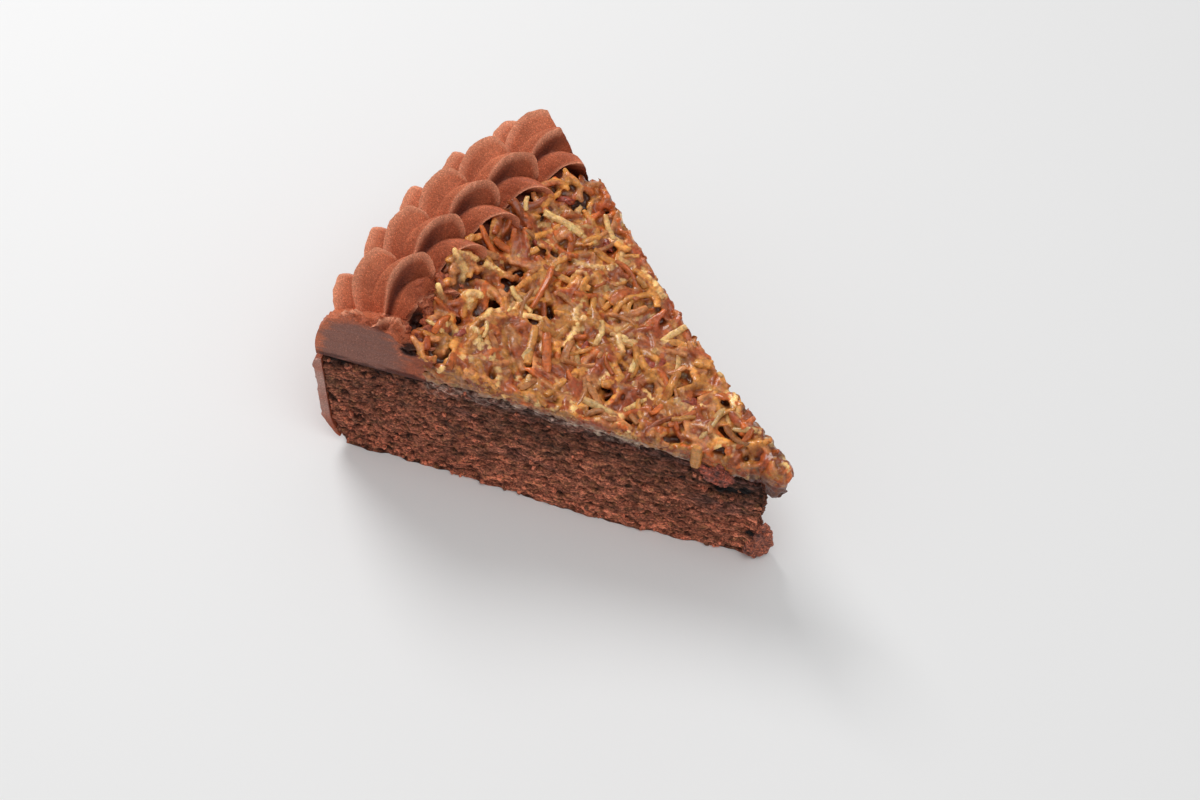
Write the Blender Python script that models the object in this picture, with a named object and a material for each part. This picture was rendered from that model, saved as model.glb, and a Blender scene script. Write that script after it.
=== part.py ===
"""One slice of a german chocolate cake: sponge, coconut topping, piped border and side icing.

The slice is an eighth of a round cake, cut by two upright planes that meet at the cake's middle.
Every piece is laid out from there with a radius, a turn from the slice's middle line (the front
cut at minus half the slice angle, the back cut at plus half) and a height.
"""
import math
import random

import bmesh
import bpy
from mathutils import Euler, Matrix, Vector, noise

MM = 0.001
SEED = 7

# The slice
SLICE_ANGLE = 45.0
APEX_X = 63.8 * MM
GAP = 0.3 * MM

# The sponge
SPONGE_RADIUS = 127.0 * MM
SPONGE_HEIGHT = 40.5 * MM
TIP_DROP = 7.5 * MM
TIP_DROP_REACH = 75.0 * MM
TIP_DROP_POWER = 1.6
FOOT_CHAMFER = 3.5 * MM
FOOT_CHAMFER_HEIGHT = 12.0 * MM
CRAG_DEPTH = 0.9 * MM
CRAG_SIZE = 7.0 * MM
CRAG_FLATTEN = 2.6
CRAG_FADE = 8.0 * MM
SPONGE_CELLS = (40, 10, 13)

# Relief of the front cut: how far out, at what radius and height, how wide and how tall
FOOT_BOW = (2.0 * MM, 48.0 * MM, 0.0, 30.0 * MM, 16.0 * MM)
PRESSED_CRUMB = (2.2 * MM, 18.0 * MM, 33.0 * MM, 4.5 * MM, 3.6 * MM)
TORN_HOLLOW = (-2.0 * MM, 10.5 * MM, 28.0 * MM, 4.5 * MM, 3.0 * MM)

# The broken tip: how far back, at what height and how tall
TIP_RADIUS = 3.2 * MM
TIP_FOOT = (2.4 * MM, 0.0, 4.0 * MM)
TIP_NOTCH = (0.8 * MM, 17.0 * MM, 3.0 * MM)
TIP_CROWN = (1.6 * MM, 34.0 * MM, 5.0 * MM)
FOOT_CRUMB_AT = (2.6 * MM, 8.0, 9.4 * MM)
FOOT_CRUMB_SIZE = (3.2 * MM, 2.8 * MM, 4.2 * MM)

# The side icing
SIDE_THICKNESS = 2.5 * MM
SIDE_BOTTOM = 3.0 * MM
SIDE_TOP = 38.2 * MM
SIDE_TAPER_HEIGHT = 7.0 * MM
SIDE_TAPER = 0.35
SIDE_UNEVEN = 0.25 * MM

# The piped border: a bed of icing with shells on it
BED_INNER = 94.8 * MM
BED_OUTER = 128.3 * MM
BED_TOP = 47.5 * MM
BED_SLOPE = 0.72
BED_INNER_LIMIT = 101.2 * MM
BED_LIP_HEIGHT = 10.5 * MM
BED_LIP_DEPTH = 7.0 * MM
BED_LIP_SLOPE = 0.55
BED_CROWN = 2.5 * MM
BED_SIDE_SLOPE = 0.35
BED_UPRIGHT = 3.0 * MM
BED_OVERRUN = 3.0
SHELL_COUNT = 7
SHELL_FIRST = -1.5
SHELL_SECOND = 8.9
SHELL_PITCH = 7.95
SHELL_UNEVEN_TURN = 0.4
SHELL_UNEVEN_SIZE = 0.04
SHELL_PATH_RADIUS = 113.4 * MM
SHELL_PATH_DRIFT = 3.5 * MM
SHELL_AXIS_HEIGHT = 52.2 * MM
SHELL_RADIUS = 14.0 * MM
SHELL_WIDE = 1.26
SHELL_LENGTH = 18.8 * MM
SHELL_BELLY = 0.855
SHELL_SMOOTH_HEAD = 0.05
SHELL_TAIL_FULLNESS = 1.37
SHELL_SINK = 1.2
SHELL_TUCK = (2.6 * MM, 7.7 * MM)
SHELL_CURL = 37.0
SHELL_CURL_FROM = 0.52
SHELL_LEAN = 32.2
SHELL_TURN = 12.8
SHELL_RINGS = 13
FINS = 8
FIN_FIRST = 11.0
FIN_GROOVE = 0.46
FIN_VALLEY = 1 / 3

# The coconut topping
TOPPING_LEVEL = 44.6 * MM
TOPPING_RISE = 8.5 * MM
TOPPING_RISE_FROM = 45.0 * MM
TOPPING_TIP = 2.6 * MM
LUMP_SIZE = 6.0 * MM
LUMP_DEPTH = 1.6 * MM
SHRED_COUNT = 118
SHRED_LENGTH = (7.0 * MM, 15.0 * MM)
SHRED_WIDTH = (1.5 * MM, 2.4 * MM)
SHRED_THICKNESS = (1.0 * MM, 1.5 * MM)
CHIP_SIZE = (8.0 * MM, 3.0 * MM, 1.5 * MM)
CHIP_RADIUS = 22.3 * MM
CHIP_HEIGHT = 41.2 * MM
CHIP_PROUD = 0.5 * MM
PECAN_COUNT = 9
PECAN_SIZE = (2.4 * MM, 3.6 * MM)
PECAN_FORM = (1.0, 0.72, 0.6)
TONGUE_AT = (0.3 * MM, 0.0, 42.0 * MM)
TONGUE_SIZE = (3.8 * MM, 3.8 * MM, 4.6 * MM)
DROP_AT = (1.2 * MM, 0.0, 37.0 * MM)
DROP_SIZE = (3.4 * MM, 3.4 * MM, 5.2 * MM)
TOPPING_SPILL = 0.8 * MM

HALF = SLICE_ANGLE / 2


def place(radius, turn, height):
    """The point at a radius from the cake's middle, a turn in degrees and a height."""
    angle = math.radians(turn)
    return Vector((APEX_X - radius * math.cos(angle), radius * math.sin(angle), height))


def blend(low, high, share):
    return low + (high - low) * share


def bell(value, centre, width):
    """A smooth bump of height one at the centre."""
    return math.exp(-((value - centre) / width) ** 2)


def outwards(side):
    """The level direction out of the front cut (side -1) or the far cut (side 1)."""
    return place(1.0, side * (HALF + 90), 0) - place(0.0, 0, 0)


def sponge_top(radius):
    """The sponge is level, but sinks towards the slice's tip."""
    reach = max(0.0, 1.0 - radius / TIP_DROP_REACH)
    return SPONGE_HEIGHT - TIP_DROP * reach ** TIP_DROP_POWER


def sponge_side(height):
    """The sponge's outer radius, drawn in towards its foot."""
    below = max(0.0, 1.0 - height / FOOT_CHAMFER_HEIGHT)
    return SPONGE_RADIUS - FOOT_CHAMFER * below ** 1.5


def bed_side(height):
    """The inner slope of the border's bed, which the topping leans on."""
    return min(BED_INNER_LIMIT, BED_INNER + (height - SPONGE_HEIGHT) * BED_SLOPE)


def topping_top(radius, turn):
    """The topping's upper surface: low in the middle, heaped up against the border."""
    outward = max(0.0, (radius - TOPPING_RISE_FROM) / (BED_INNER - TOPPING_RISE_FROM))
    tipward = max(0.0, 1.0 - radius / (0.6 * TOPPING_RISE_FROM))
    rise = TOPPING_RISE * outward ** 1.5
    return TOPPING_LEVEL + rise + (1.5 + 1.2 * tipward) * MM * turn / HALF


def core_top(radius, turn):
    """The lumpy caramel surface that the shreds lie on."""
    spot = Vector((radius, radius * math.radians(turn), 0)) / LUMP_SIZE
    return topping_top(radius, turn) - SHRED_THICKNESS[0] + LUMP_DEPTH * noise.noise(spot)


def unit_block(cells):
    """A closed cube from 0 to 1 with its faces divided along x, y and z."""
    mesh = bmesh.new()
    bmesh.ops.create_cube(mesh, size=1.0)
    bmesh.ops.translate(mesh, verts=mesh.verts, vec=(0.5, 0.5, 0.5))
    for axis, count in enumerate(cells):
        along = [edge for edge in mesh.edges
                 if abs((edge.verts[0].co - edge.verts[1].co)[axis]) > 0.01]
        if count > 1:
            bmesh.ops.subdivide_edges(mesh, edges=along, cuts=count - 1, use_grid_fill=True)
    return mesh


def reshape(mesh, rule):
    """Move every vertex to where the rule sends it."""
    for vertex in mesh.verts:
        vertex.co = rule(*vertex.co)


def add_object(name, mesh, collection, material=None):
    """Turn a bmesh into a named object with its faces turned outwards."""
    bmesh.ops.recalc_face_normals(mesh, faces=mesh.faces)
    data = bpy.data.meshes.new(name)
    mesh.to_mesh(data)
    mesh.free()
    item = bpy.data.objects.new(name, data)
    collection.objects.link(item)
    if material:
        data.materials.append(material)
    return item


def make_material(name, colour, roughness):
    material = bpy.data.materials.new(name)
    material.use_nodes = True
    shader = material.node_tree.nodes["Principled BSDF"]
    shader.inputs["Base Color"].default_value = (*colour, 1.0)
    shader.inputs["Roughness"].default_value = roughness
    shader.inputs["Metallic"].default_value = 0.0
    material.diffuse_color = (*colour, 1.0)
    return material


def make_collection(name):
    collection = bpy.data.collections.new(name)
    bpy.context.scene.collection.children.link(collection)
    return collection


def apply_modifiers(item):
    """Replace the object's mesh by the one its modifiers make."""
    graph = bpy.context.evaluated_depsgraph_get()
    data = bpy.data.meshes.new_from_object(item.evaluated_get(graph))
    item.modifiers.clear()
    item.data = data


def largest_body(item):
    """Keep the largest closed body and drop loose scraps and sealed hollows."""
    mesh = bmesh.new()
    mesh.from_mesh(item.data)
    left = set(mesh.faces)
    bodies = []
    while left:
        body = [left.pop()]
        for face in body:
            near = {other for edge in face.edges for other in edge.link_faces} & left
            left -= near
            body.extend(near)
        bodies.append(body)
    bodies.sort(key=len)
    scraps = [face for body in bodies[:-1] for face in body]
    bmesh.ops.delete(mesh, geom=scraps, context="FACES")
    mesh.to_mesh(item.data)
    mesh.free()


def fuse(item, pieces, one_by_one=False):
    """Join the objects of a collection to the item, then remove them."""
    for piece in list(pieces.objects) if one_by_one else [None]:
        join = item.modifiers.new("Fused pieces", "BOOLEAN")
        join.operation = "UNION"
        if piece:
            join.object = piece
        else:
            join.operand_type = "COLLECTION"
            join.collection = pieces
    apply_modifiers(item)
    for piece in list(pieces.objects):
        bpy.data.objects.remove(piece, do_unlink=True)
    bpy.data.collections.remove(pieces)
    largest_body(item)


def lump(name, centre, radii, turn, seed, collection, detail=2):
    """A rough rounded crumb, chunk or nut piece."""
    mesh = bmesh.new()
    bmesh.ops.create_icosphere(mesh, subdivisions=detail, radius=1.0)
    for vertex in mesh.verts:
        rough = 1.0 + 0.28 * noise.noise(vertex.co * 1.7 + Vector((seed * 3.1, 0, 0)))
        vertex.co = Vector(part * size for part, size in zip(vertex.co * rough, radii))
    spin = Euler([math.radians(part) for part in turn]).to_matrix().to_4x4()
    bmesh.ops.transform(mesh, matrix=Matrix.Translation(centre) @ spin, verts=mesh.verts)
    return add_object(name, mesh, collection)


def crag(radius, height, side):
    """The torn, layered relief of the cut sponge, in metres outwards."""
    spot = Vector((radius / CRAG_SIZE, side * 9.0, height * CRAG_FLATTEN / CRAG_SIZE))
    fine = Vector((radius / CRAG_SIZE * 2.3, side * 5.0, height * CRAG_FLATTEN / CRAG_SIZE * 1.7))
    near_icing = min(1.0, max(0.0, (SPONGE_RADIUS - radius) / CRAG_FADE))
    return CRAG_DEPTH * near_icing * (noise.noise(spot) + 0.6 * noise.noise(fine))


def front_relief(radius, height):
    """How far the front cut stands out: a bowed foot, a pressed crumb and a hollow under it."""
    relief = crag(radius, height, 0)
    for out, at_radius, at_height, wide, tall in (FOOT_BOW, PRESSED_CRUMB, TORN_HOLLOW):
        relief += out * bell(radius, at_radius, wide) * bell(height, at_height, tall)
    return relief


def tip_radius(height):
    """Where the sponge ends at the tip: broken back at its foot and under the topping."""
    return TIP_RADIUS + sum(back * bell(height, at, tall)
                            for back, at, tall in (TIP_FOOT, TIP_NOTCH, TIP_CROWN))


def make_sponge(collection):
    def rule(out, across, up):
        end = blend(tip_radius(up * sponge_top(0.0)), sponge_side(up * SPONGE_HEIGHT), out)
        height = up * sponge_top(end)
        base = place(end, blend(-HALF, HALF, across), height)
        front = front_relief(end, height) * (1 - across) * outwards(-1)
        return base + front + crag(end, height, 1) * across * outwards(1)

    mesh = unit_block(SPONGE_CELLS)
    reshape(mesh, rule)
    underside = [face for face in mesh.faces if abs(face.calc_center_median().z) < GAP]
    bmesh.ops.dissolve_faces(mesh, faces=underside)
    material = make_material("chocolate_sponge", (0.105, 0.034, 0.016), 0.9)
    sponge = add_object("sponge", mesh, collection, material)
    crumbs = make_collection("sponge_crumbs")
    lump("foot_crumb", place(*FOOT_CRUMB_AT), FOOT_CRUMB_SIZE, (0, 8, 40), 4, crumbs)
    fuse(sponge, crumbs)
    return sponge


def make_side_icing(collection):
    def rule(out, across, up):
        height = blend(SIDE_BOTTOM, SIDE_TOP, up)
        taper = min(1.0, blend(SIDE_TAPER, 1.0, (height - SIDE_BOTTOM) / SIDE_TAPER_HEIGHT))
        uneven = SIDE_UNEVEN * noise.noise(Vector((across * 7, up * 3, 0)))
        thickness = SIDE_THICKNESS * taper + uneven
        inner = sponge_side(height) + GAP
        return place(inner + thickness * out, blend(-HALF, HALF, across), height)

    mesh = unit_block((1, 10, 6))
    reshape(mesh, rule)
    material = make_material("side_icing_chocolate", (0.20, 0.075, 0.045), 0.55)
    return add_object("side_icing", mesh, collection, material)


def star(turn, depth):
    """The star nozzle's section, dragged over: each fin's back is round, its front hollow."""
    step = 360.0 / FINS
    share = (FIN_FIRST - turn) % step / step
    if share < FIN_VALLEY:
        hollow = 1 - (1 - share / FIN_VALLEY) ** 2
    else:
        hollow = (1 - (share - FIN_VALLEY) / (1 - FIN_VALLEY)) ** 1.7
    return blend(1.0, FIN_GROOVE, hollow * depth)


def add_shell(centre_turn, size, collection):
    """One piped shell: it swells from its tail to a blunt head, where its fins curl inwards."""
    path = SHELL_PATH_RADIUS + SHELL_PATH_DRIFT * (centre_turn - HALF) / HALF
    radius = SHELL_RADIUS * size
    lean = math.radians(SHELL_LEAN)
    turned = math.radians(SHELL_TURN)
    inwards, downwards = SHELL_TUCK

    def rule(x, y, z):
        ring = 0.5 + math.asin(max(-1.0, min(1.0, z))) / math.pi
        along = 1 - (1 - ring) ** 1.5
        tail = math.sin(math.pi / 2 * min(1.0, along / SHELL_BELLY)) ** SHELL_TAIL_FULLNESS
        past = max(0.0, (along - SHELL_BELLY) / (1 - SHELL_BELLY))
        width = radius * tail * math.sqrt(max(0.0, 1 - past ** 2))
        fin = math.degrees(math.atan2(x, y))
        ray = width * star(fin, min(1.0, (1 - along) / SHELL_SMOOTH_HEAD))
        curl = max(0.0, (along - SHELL_CURL_FROM) / (1 - SHELL_CURL_FROM)) ** 1.45
        angle = math.radians(fin - SHELL_CURL * curl)
        sideways = SHELL_WIDE * ray * math.sin(angle)
        upwards = ray * math.cos(angle)
        tucked = past ** 1.5
        sunk = 0.0 if past else SHELL_SINK * (radius - width)
        forward = (along - SHELL_BELLY) * SHELL_LENGTH + upwards * math.sin(lean)
        forward -= sideways * math.sin(turned)
        height = SHELL_AXIS_HEIGHT - sunk + upwards * math.cos(lean) - downwards * tucked
        reach = path + sideways * math.cos(turned) - inwards * tucked
        return place(reach, centre_turn - HALF + math.degrees(forward / path), height)

    mesh = bmesh.new()
    bmesh.ops.create_uvsphere(mesh, u_segments=3 * FINS, v_segments=SHELL_RINGS, radius=1.0)
    spin = Matrix.Rotation(math.radians(90 - FIN_FIRST), 4, "Z")
    bmesh.ops.transform(mesh, matrix=spin, verts=mesh.verts)
    reshape(mesh, rule)
    return add_object("shell", mesh, collection)


def make_border(collection, cutters):
    def rule(out, across, up):
        height = blend(SPONGE_HEIGHT - GAP, BED_TOP, up)
        turn = blend(-HALF - BED_OVERRUN, HALF + BED_OVERRUN, across)
        inward = max(0.0, turn + HALF) * math.radians(1) * BED_OUTER
        lip = BED_LIP_HEIGHT * up * math.exp(-(inward / BED_LIP_DEPTH) ** 2)
        inner = bed_side(height + BED_LIP_SLOPE * lip) - GAP
        outer = BED_OUTER - BED_SIDE_SLOPE * (height + lip - SPONGE_HEIGHT - BED_UPRIGHT) * up
        crown = BED_CROWN * math.sin(math.pi * out) * up
        return place(blend(inner, outer, out), turn, height + lip + crown)

    mesh = unit_block((6, 16, 3))
    reshape(mesh, rule)
    material = make_material("border_icing_chocolate", (0.27, 0.085, 0.05), 0.5)
    border = add_object("border_icing", mesh, collection, material)
    shells = make_collection("border_shells")
    draw = random.Random(SEED)
    add_shell(SHELL_FIRST, 1.0 - SHELL_UNEVEN_SIZE, shells)
    for count in range(SHELL_COUNT - 1):
        uneven = SHELL_UNEVEN_TURN * draw.uniform(-1, 1)
        size = 1.0 + SHELL_UNEVEN_SIZE * draw.uniform(-1, 1)
        add_shell(SHELL_SECOND + SHELL_PITCH * count + uneven, size, shells)
    fuse(border, shells, one_by_one=True)

    def wedge(out, across, up):
        steep_from = SPONGE_HEIGHT + (BED_INNER_LIMIT - BED_INNER) / BED_SLOPE
        if up <= 0.5:
            height = blend(SPONGE_HEIGHT + GAP, steep_from, 2 * up)
        else:
            height = blend(steep_from, 2 * BED_TOP, 2 * up - 1)
        radius = blend(bed_side(height), 1.5 * BED_OUTER, out)
        return place(radius, blend(-HALF, HALF, across), height)

    block = unit_block((1, 14, 2))
    reshape(block, wedge)
    cutter = add_object("slice_cutter", block, cutters)
    cutter.hide_render = True
    cutter.display_type = "WIRE"
    cut = border.modifiers.new("Cut to the slice", "BOOLEAN")
    cut.operation = "INTERSECT"
    cut.object = cutter
    apply_modifiers(border)
    largest_body(border)
    bpy.data.objects.remove(cutter, do_unlink=True)
    return border


def add_shred(name, centre, turn, size, bend, collection):
    """One strip of coconut, bowed along its length."""
    length, width, thickness = size

    def rule(x, y, z):
        taper = 1.0 - 0.35 * abs(2 * x - 1) ** 3
        lift = bend * (1 - (2 * x - 1) ** 2)
        return Vector(((x - 0.5) * length, (y - 0.5) * width * taper + lift,
                       (z - 0.5) * thickness * taper))

    mesh = unit_block((3, 1, 1))
    reshape(mesh, rule)
    spin = Euler([math.radians(part) for part in turn], "XYZ").to_matrix().to_4x4()
    bmesh.ops.transform(mesh, matrix=Matrix.Translation(centre) @ spin, verts=mesh.verts)
    return add_object(name, mesh, collection)


def is_clear(item):
    """Whether a piece on the topping keeps off the border, the sponge and the cut planes."""
    for vertex in item.data.vertices:
        spot = vertex.co
        out = Vector((APEX_X - spot.x, spot.y))
        radius = out.length
        turn = math.degrees(math.atan2(out.y, out.x))
        if radius > bed_side(spot.z) - GAP or spot.z < sponge_top(radius) + 2 * GAP:
            return False
        if radius > 2 * TOPPING_TIP and radius * math.radians(abs(turn) - HALF) > TOPPING_SPILL:
            return False
    return True


def spread_spots(count, draw):
    """Evenly spread places on the topping, as radius and turn."""
    spots = []
    inner = (2 * TOPPING_TIP) ** 2
    outer = (BED_INNER_LIMIT - 2 * MM) ** 2
    while len(spots) < count:
        best = None
        for _ in range(14):
            radius = math.sqrt(draw.uniform(inner, outer))
            turn = draw.uniform(-HALF, HALF)
            spot = place(radius, turn, 0)
            room = min([(spot - place(*other, 0)).length for other in spots] or [1.0])
            if best is None or room > best[0]:
                best = (room, radius, turn)
        spots.append(best[1:])
    return spots


def make_topping(collection):
    def rule(out, across, up):
        turn = blend(-HALF, HALF, across)
        low = blend(TOPPING_TIP, bed_side(SPONGE_HEIGHT) - 2 * GAP, out)
        top = topping_top(low, turn)
        high = blend(TOPPING_TIP, bed_side(top) - 2 * GAP, out)
        radius = blend(low, high, up)
        return place(radius, turn, blend(sponge_top(radius) + GAP, core_top(radius, turn), up))

    mesh = unit_block((24, 10, 2))
    reshape(mesh, rule)
    material = make_material("coconut_caramel", (0.43, 0.20, 0.055), 0.35)
    topping = add_object("coconut_topping", mesh, collection, material)
    pieces = make_collection("topping_pieces")
    draw = random.Random(SEED)
    for number, (radius, turn) in enumerate(spread_spots(SHRED_COUNT, draw)):
        for attempt in range(6):
            size = (draw.uniform(*SHRED_LENGTH) * (1 - 0.12 * attempt),
                    draw.uniform(*SHRED_WIDTH), draw.uniform(*SHRED_THICKNESS))
            lift = size[2] * (0.1 if number % 4 else 1.0)
            centre = place(radius, turn, core_top(radius, turn) + lift)
            angles = (draw.uniform(-35, 35), draw.uniform(-14, 14), draw.uniform(0, 180))
            shred = add_shred(f"shred_{number}", centre, angles, size,
                              draw.uniform(-0.14, 0.14) * size[0], pieces)
            if is_clear(shred):
                break
            bpy.data.objects.remove(shred, do_unlink=True)
    chip_at = place(CHIP_RADIUS, -HALF, CHIP_HEIGHT) + CHIP_PROUD * outwards(-1)
    add_shred("hanging_chip", chip_at, (0, 90, HALF - 90), CHIP_SIZE, 0.0, pieces)
    for number, (radius, turn) in enumerate(spread_spots(PECAN_COUNT, draw)):
        size = draw.uniform(*PECAN_SIZE)
        centre = place(radius, turn, core_top(radius, turn) + 0.2 * size)
        radii = [part * size for part in PECAN_FORM]
        nut = lump(f"pecan_{number}", centre, radii, (0, 0, draw.uniform(0, 180)), number,
                   pieces, detail=1)
        if not is_clear(nut):
            bpy.data.objects.remove(nut, do_unlink=True)
    lump("tip_tongue", place(*TONGUE_AT), TONGUE_SIZE, (0, 4, 20), 2, pieces)
    lump("tip_drop", place(*DROP_AT), DROP_SIZE, (0, -12, 0), 7, pieces)
    fuse(topping, pieces)
    return topping


def main():
    for item in list(bpy.data.objects):
        bpy.data.objects.remove(item, do_unlink=True)
    cake = make_collection("german_chocolate_cake_slice")
    cutters = make_collection("cutters")
    make_sponge(cake)
    make_side_icing(cake)
    make_border(cake, cutters)
    make_topping(cake)


main()
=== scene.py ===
"""How a slice of german chocolate cake looks: open crumb, piped icing and sticky coconut topping.

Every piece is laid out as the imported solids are: by a radius from the cake's middle, a turn from
the slice's middle line (the front cut at minus half the slice's angle) and a height. Lengths are
in millimetres until a mesh or a material is made.
"""
import math
import random

import bpy
import numpy as np
from mathutils import Matrix, Vector, noise
from mathutils.kdtree import KDTree


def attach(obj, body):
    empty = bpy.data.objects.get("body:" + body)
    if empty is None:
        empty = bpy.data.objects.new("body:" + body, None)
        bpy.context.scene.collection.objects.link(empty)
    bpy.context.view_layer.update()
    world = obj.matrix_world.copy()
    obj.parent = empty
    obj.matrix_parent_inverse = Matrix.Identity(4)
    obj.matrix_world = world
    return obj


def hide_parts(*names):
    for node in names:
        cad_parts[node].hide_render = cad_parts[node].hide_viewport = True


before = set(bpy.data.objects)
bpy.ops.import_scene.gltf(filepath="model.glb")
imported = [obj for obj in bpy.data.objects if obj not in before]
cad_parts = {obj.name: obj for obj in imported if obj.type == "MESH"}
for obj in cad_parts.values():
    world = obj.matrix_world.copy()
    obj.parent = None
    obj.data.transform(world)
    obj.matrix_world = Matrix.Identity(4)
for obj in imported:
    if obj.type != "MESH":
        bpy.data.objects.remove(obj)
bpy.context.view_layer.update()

MM = 0.001
SEED = 7

# The slice, as its solids have it
# Half the slice's angle
HALF = 22.5
APEX_X = 63.8
GAP = 0.3
SPONGE_RADIUS = 127.0
SPONGE_HEIGHT = 40.5
TIP_DROP = 7.5
TIP_DROP_REACH = 75.0
TIP_DROP_POWER = 1.6
FOOT_CHAMFER = 3.5
FOOT_CHAMFER_HEIGHT = 12.0
CRAG_DEPTH = 0.9
CRAG_SIZE = 7.0
CRAG_FLATTEN = 2.6
CRAG_FADE = 8.0
# Swellings of the front cut: how far out, at what radius and height, how wide and how tall
FRONT_SWELLINGS = (
    (2.0, 48.0, 0.0, 30.0, 16.0),
    (1.4, 17.0, 34.0, 4.5, 3.6),
    (-1.4, 11.5, 26.4, 5.0, 2.4),
)
TIP_RADIUS = 3.2
# Where the tip stands back: how far, at what height and how tall
TIP_STEPS = ((2.4, 0.0, 4.0), (0.8, 17.0, 3.0), (1.6, 34.0, 5.0))
SIDE_THICKNESS = 2.5
SIDE_BOTTOM = 3.0
SIDE_TOP = 38.2
SIDE_TAPER_HEIGHT = 7.0
SIDE_TAPER = 0.35
BED_INNER = 94.8
BED_OUTER = 128.3
BED_TOP = 47.5
BED_SLOPE = 0.72
BED_INNER_LIMIT = 101.2
BED_LIP_HEIGHT = 10.5
BED_LIP_DEPTH = 7.0
BED_LIP_SLOPE = 0.55
BED_CROWN = 2.5
BED_SIDE_SLOPE = 0.35
BED_UPRIGHT = 3.0
BED_OVERRUN = 3.0
SHELL_COUNT = 7
SHELL_FIRST = -1.5
SHELL_SECOND = 8.9
SHELL_PITCH = 7.95
SHELL_UNEVEN_TURN = 0.4
SHELL_UNEVEN_SIZE = 0.04
SHELL_PATH_RADIUS = 113.4
SHELL_PATH_DRIFT = 3.5
SHELL_AXIS_HEIGHT = 52.2
SHELL_RADIUS = 14.0
SHELL_WIDE = 1.26
SHELL_LENGTH = 18.8
SHELL_BELLY = 0.855
SHELL_SMOOTH_HEAD = 0.05
SHELL_TAIL_FULLNESS = 1.37
SHELL_SINK = 1.2
SHELL_TUCK = (2.6, 7.7)
SHELL_CURL = 37.0
SHELL_CURL_FROM = 0.52
SHELL_LEAN = 32.2
SHELL_TURN = 12.8
FINS = 8
FIN_FIRST = 11.0
FIN_GROOVE = 0.46
FIN_VALLEY = (0.13, 0.27)
FIN_BACK = 1.1
FIN_LIP = 0.04
TOPPING_LEVEL = 44.6
TOPPING_RISE = 8.5
TOPPING_RISE_FROM = 45.0
TOPPING_TIP = 2.6
LUMP_SIZE = 6.0
LUMP_DEPTH = 1.6

FRONT, BACK = -1, 1
UP = np.array([0.0, 0.0, 1.0])
MIDDLE = np.array([APEX_X, 0.0, 0.0])


def srgb(red, green, blue):
    """A colour as it looks on screen, from 0 to 255, turned into light."""
    share = np.array([red, green, blue]) / 255.0
    return np.where(share <= 0.04045, share / 12.92, ((share + 0.055) / 1.055) ** 2.4)


SPONGE_RED = srgb(220, 126, 96)
SPONGE_BROWN = srgb(146, 96, 74)
# Painted shade for the sponge's pores
SPONGE_PORE_SHADE = srgb(34, 14, 10)
# Near black, painted where there is only shade: gaps and holes
PAINTED_SHADE_BLACK = srgb(14, 6, 6)
SPONGE_OLIVE = srgb(150, 112, 66)
SPONGE_SMEAR = srgb(122, 84, 78)
SPONGE_FLESH = srgb(196, 100, 78)
ICING = srgb(180, 93, 62)
ICING_LIT = srgb(222, 130, 92)
ICING_DEEP = srgb(112, 50, 34)
# Painted shade in the icing's hollows and gaps
ICING_PAINTED_SHADE = srgb(72, 24, 15)
# Painted highlight along the fins' crests
ICING_RIM_HIGHLIGHT = srgb(234, 158, 124)
ICING_CUT = srgb(136, 92, 80)
SIDE_CUT = srgb(188, 148, 136)
CARAMEL = srgb(150, 76, 27)
# Painted shade in the topping's gaps
CARAMEL_PAINTED_SHADE = srgb(64, 26, 12)
CARAMEL_RED = srgb(158, 70, 34)
SEAM_SMEAR = srgb(120, 92, 78)
SEAM_PALE = srgb(214, 190, 168)
SEAM_FILM = srgb(222, 188, 172)
# Partly crumb, partly painted shade under the drop at the tip
DROP_CRUMB_AND_SHADE = srgb(86, 30, 18)
NUT = srgb(150, 64, 44)
STRAND_COLOURS = {
    "cream": srgb(246, 198, 128),
    "gold": srgb(216, 146, 70),
    "tan": srgb(202, 134, 80),
    "orange": srgb(202, 104, 44),
    "brown": srgb(158, 76, 34),
}


# Places and shares

def columns(*parts):
    """Points from their three coordinates."""
    return np.stack(np.broadcast_arrays(*parts), axis=-1)


def place(radius, turn, height):
    """Points from radii, turns in degrees and heights."""
    angle = np.radians(turn)
    return columns(APEX_X - radius * np.cos(angle), radius * np.sin(angle), height)


def polar(points):
    """The radius and the turn in degrees of each point."""
    out = APEX_X - points[..., 0]
    return np.hypot(out, points[..., 1]), np.degrees(np.arctan2(points[..., 1], out))


def blend(low, high, share):
    return low + (high - low) * share


def clamp(value):
    """The value, kept between 0 and 1."""
    return np.clip(value, 0, 1)


def mix(first, second, share):
    """Colours between two, by a share for each point."""
    share = clamp(np.asarray(share, float))[..., None]
    return first * (1 - share) + second * share


def ramp(value, start, end):
    """0 at the start, 1 at the end, smooth between."""
    share = clamp((value - start) / (end - start))
    return share * share * (3 - 2 * share)


def bell(value, centre, width):
    return np.exp(-((value - centre) / width) ** 2)


def level(turn):
    """The level direction away from the cake's middle at a turn."""
    return place(1.0, turn, 0) - MIDDLE


def outwards(side):
    """The level direction out of the front or the far cut."""
    return level(side * (HALF + 90))


def beyond(points, side):
    """How far each point lies outside one of the two cuts."""
    return (points - MIDDLE) @ outwards(side)


def field(points, size, seed=0.0, stretch=(1, 1, 1), octaves=1):
    """Smooth noise from about -1 to 1 at each point."""
    spots = (points / (size * np.array(stretch)) + seed * 7.31).tolist()
    if octaves == 1:
        return np.array([noise.noise(spot) for spot in spots])
    return np.array([noise.fractal(spot, 1.0, 2.0, octaves) for spot in spots])


def cells(points, size, seed, stretch):
    """Distances to the nearest and the second nearest of scattered points, in their spacing."""
    spots = (points / (size * np.array(stretch)) + seed * 7.31).tolist()
    return np.array([noise.voronoi(spot)[0][:2] for spot in spots]).T


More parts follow.
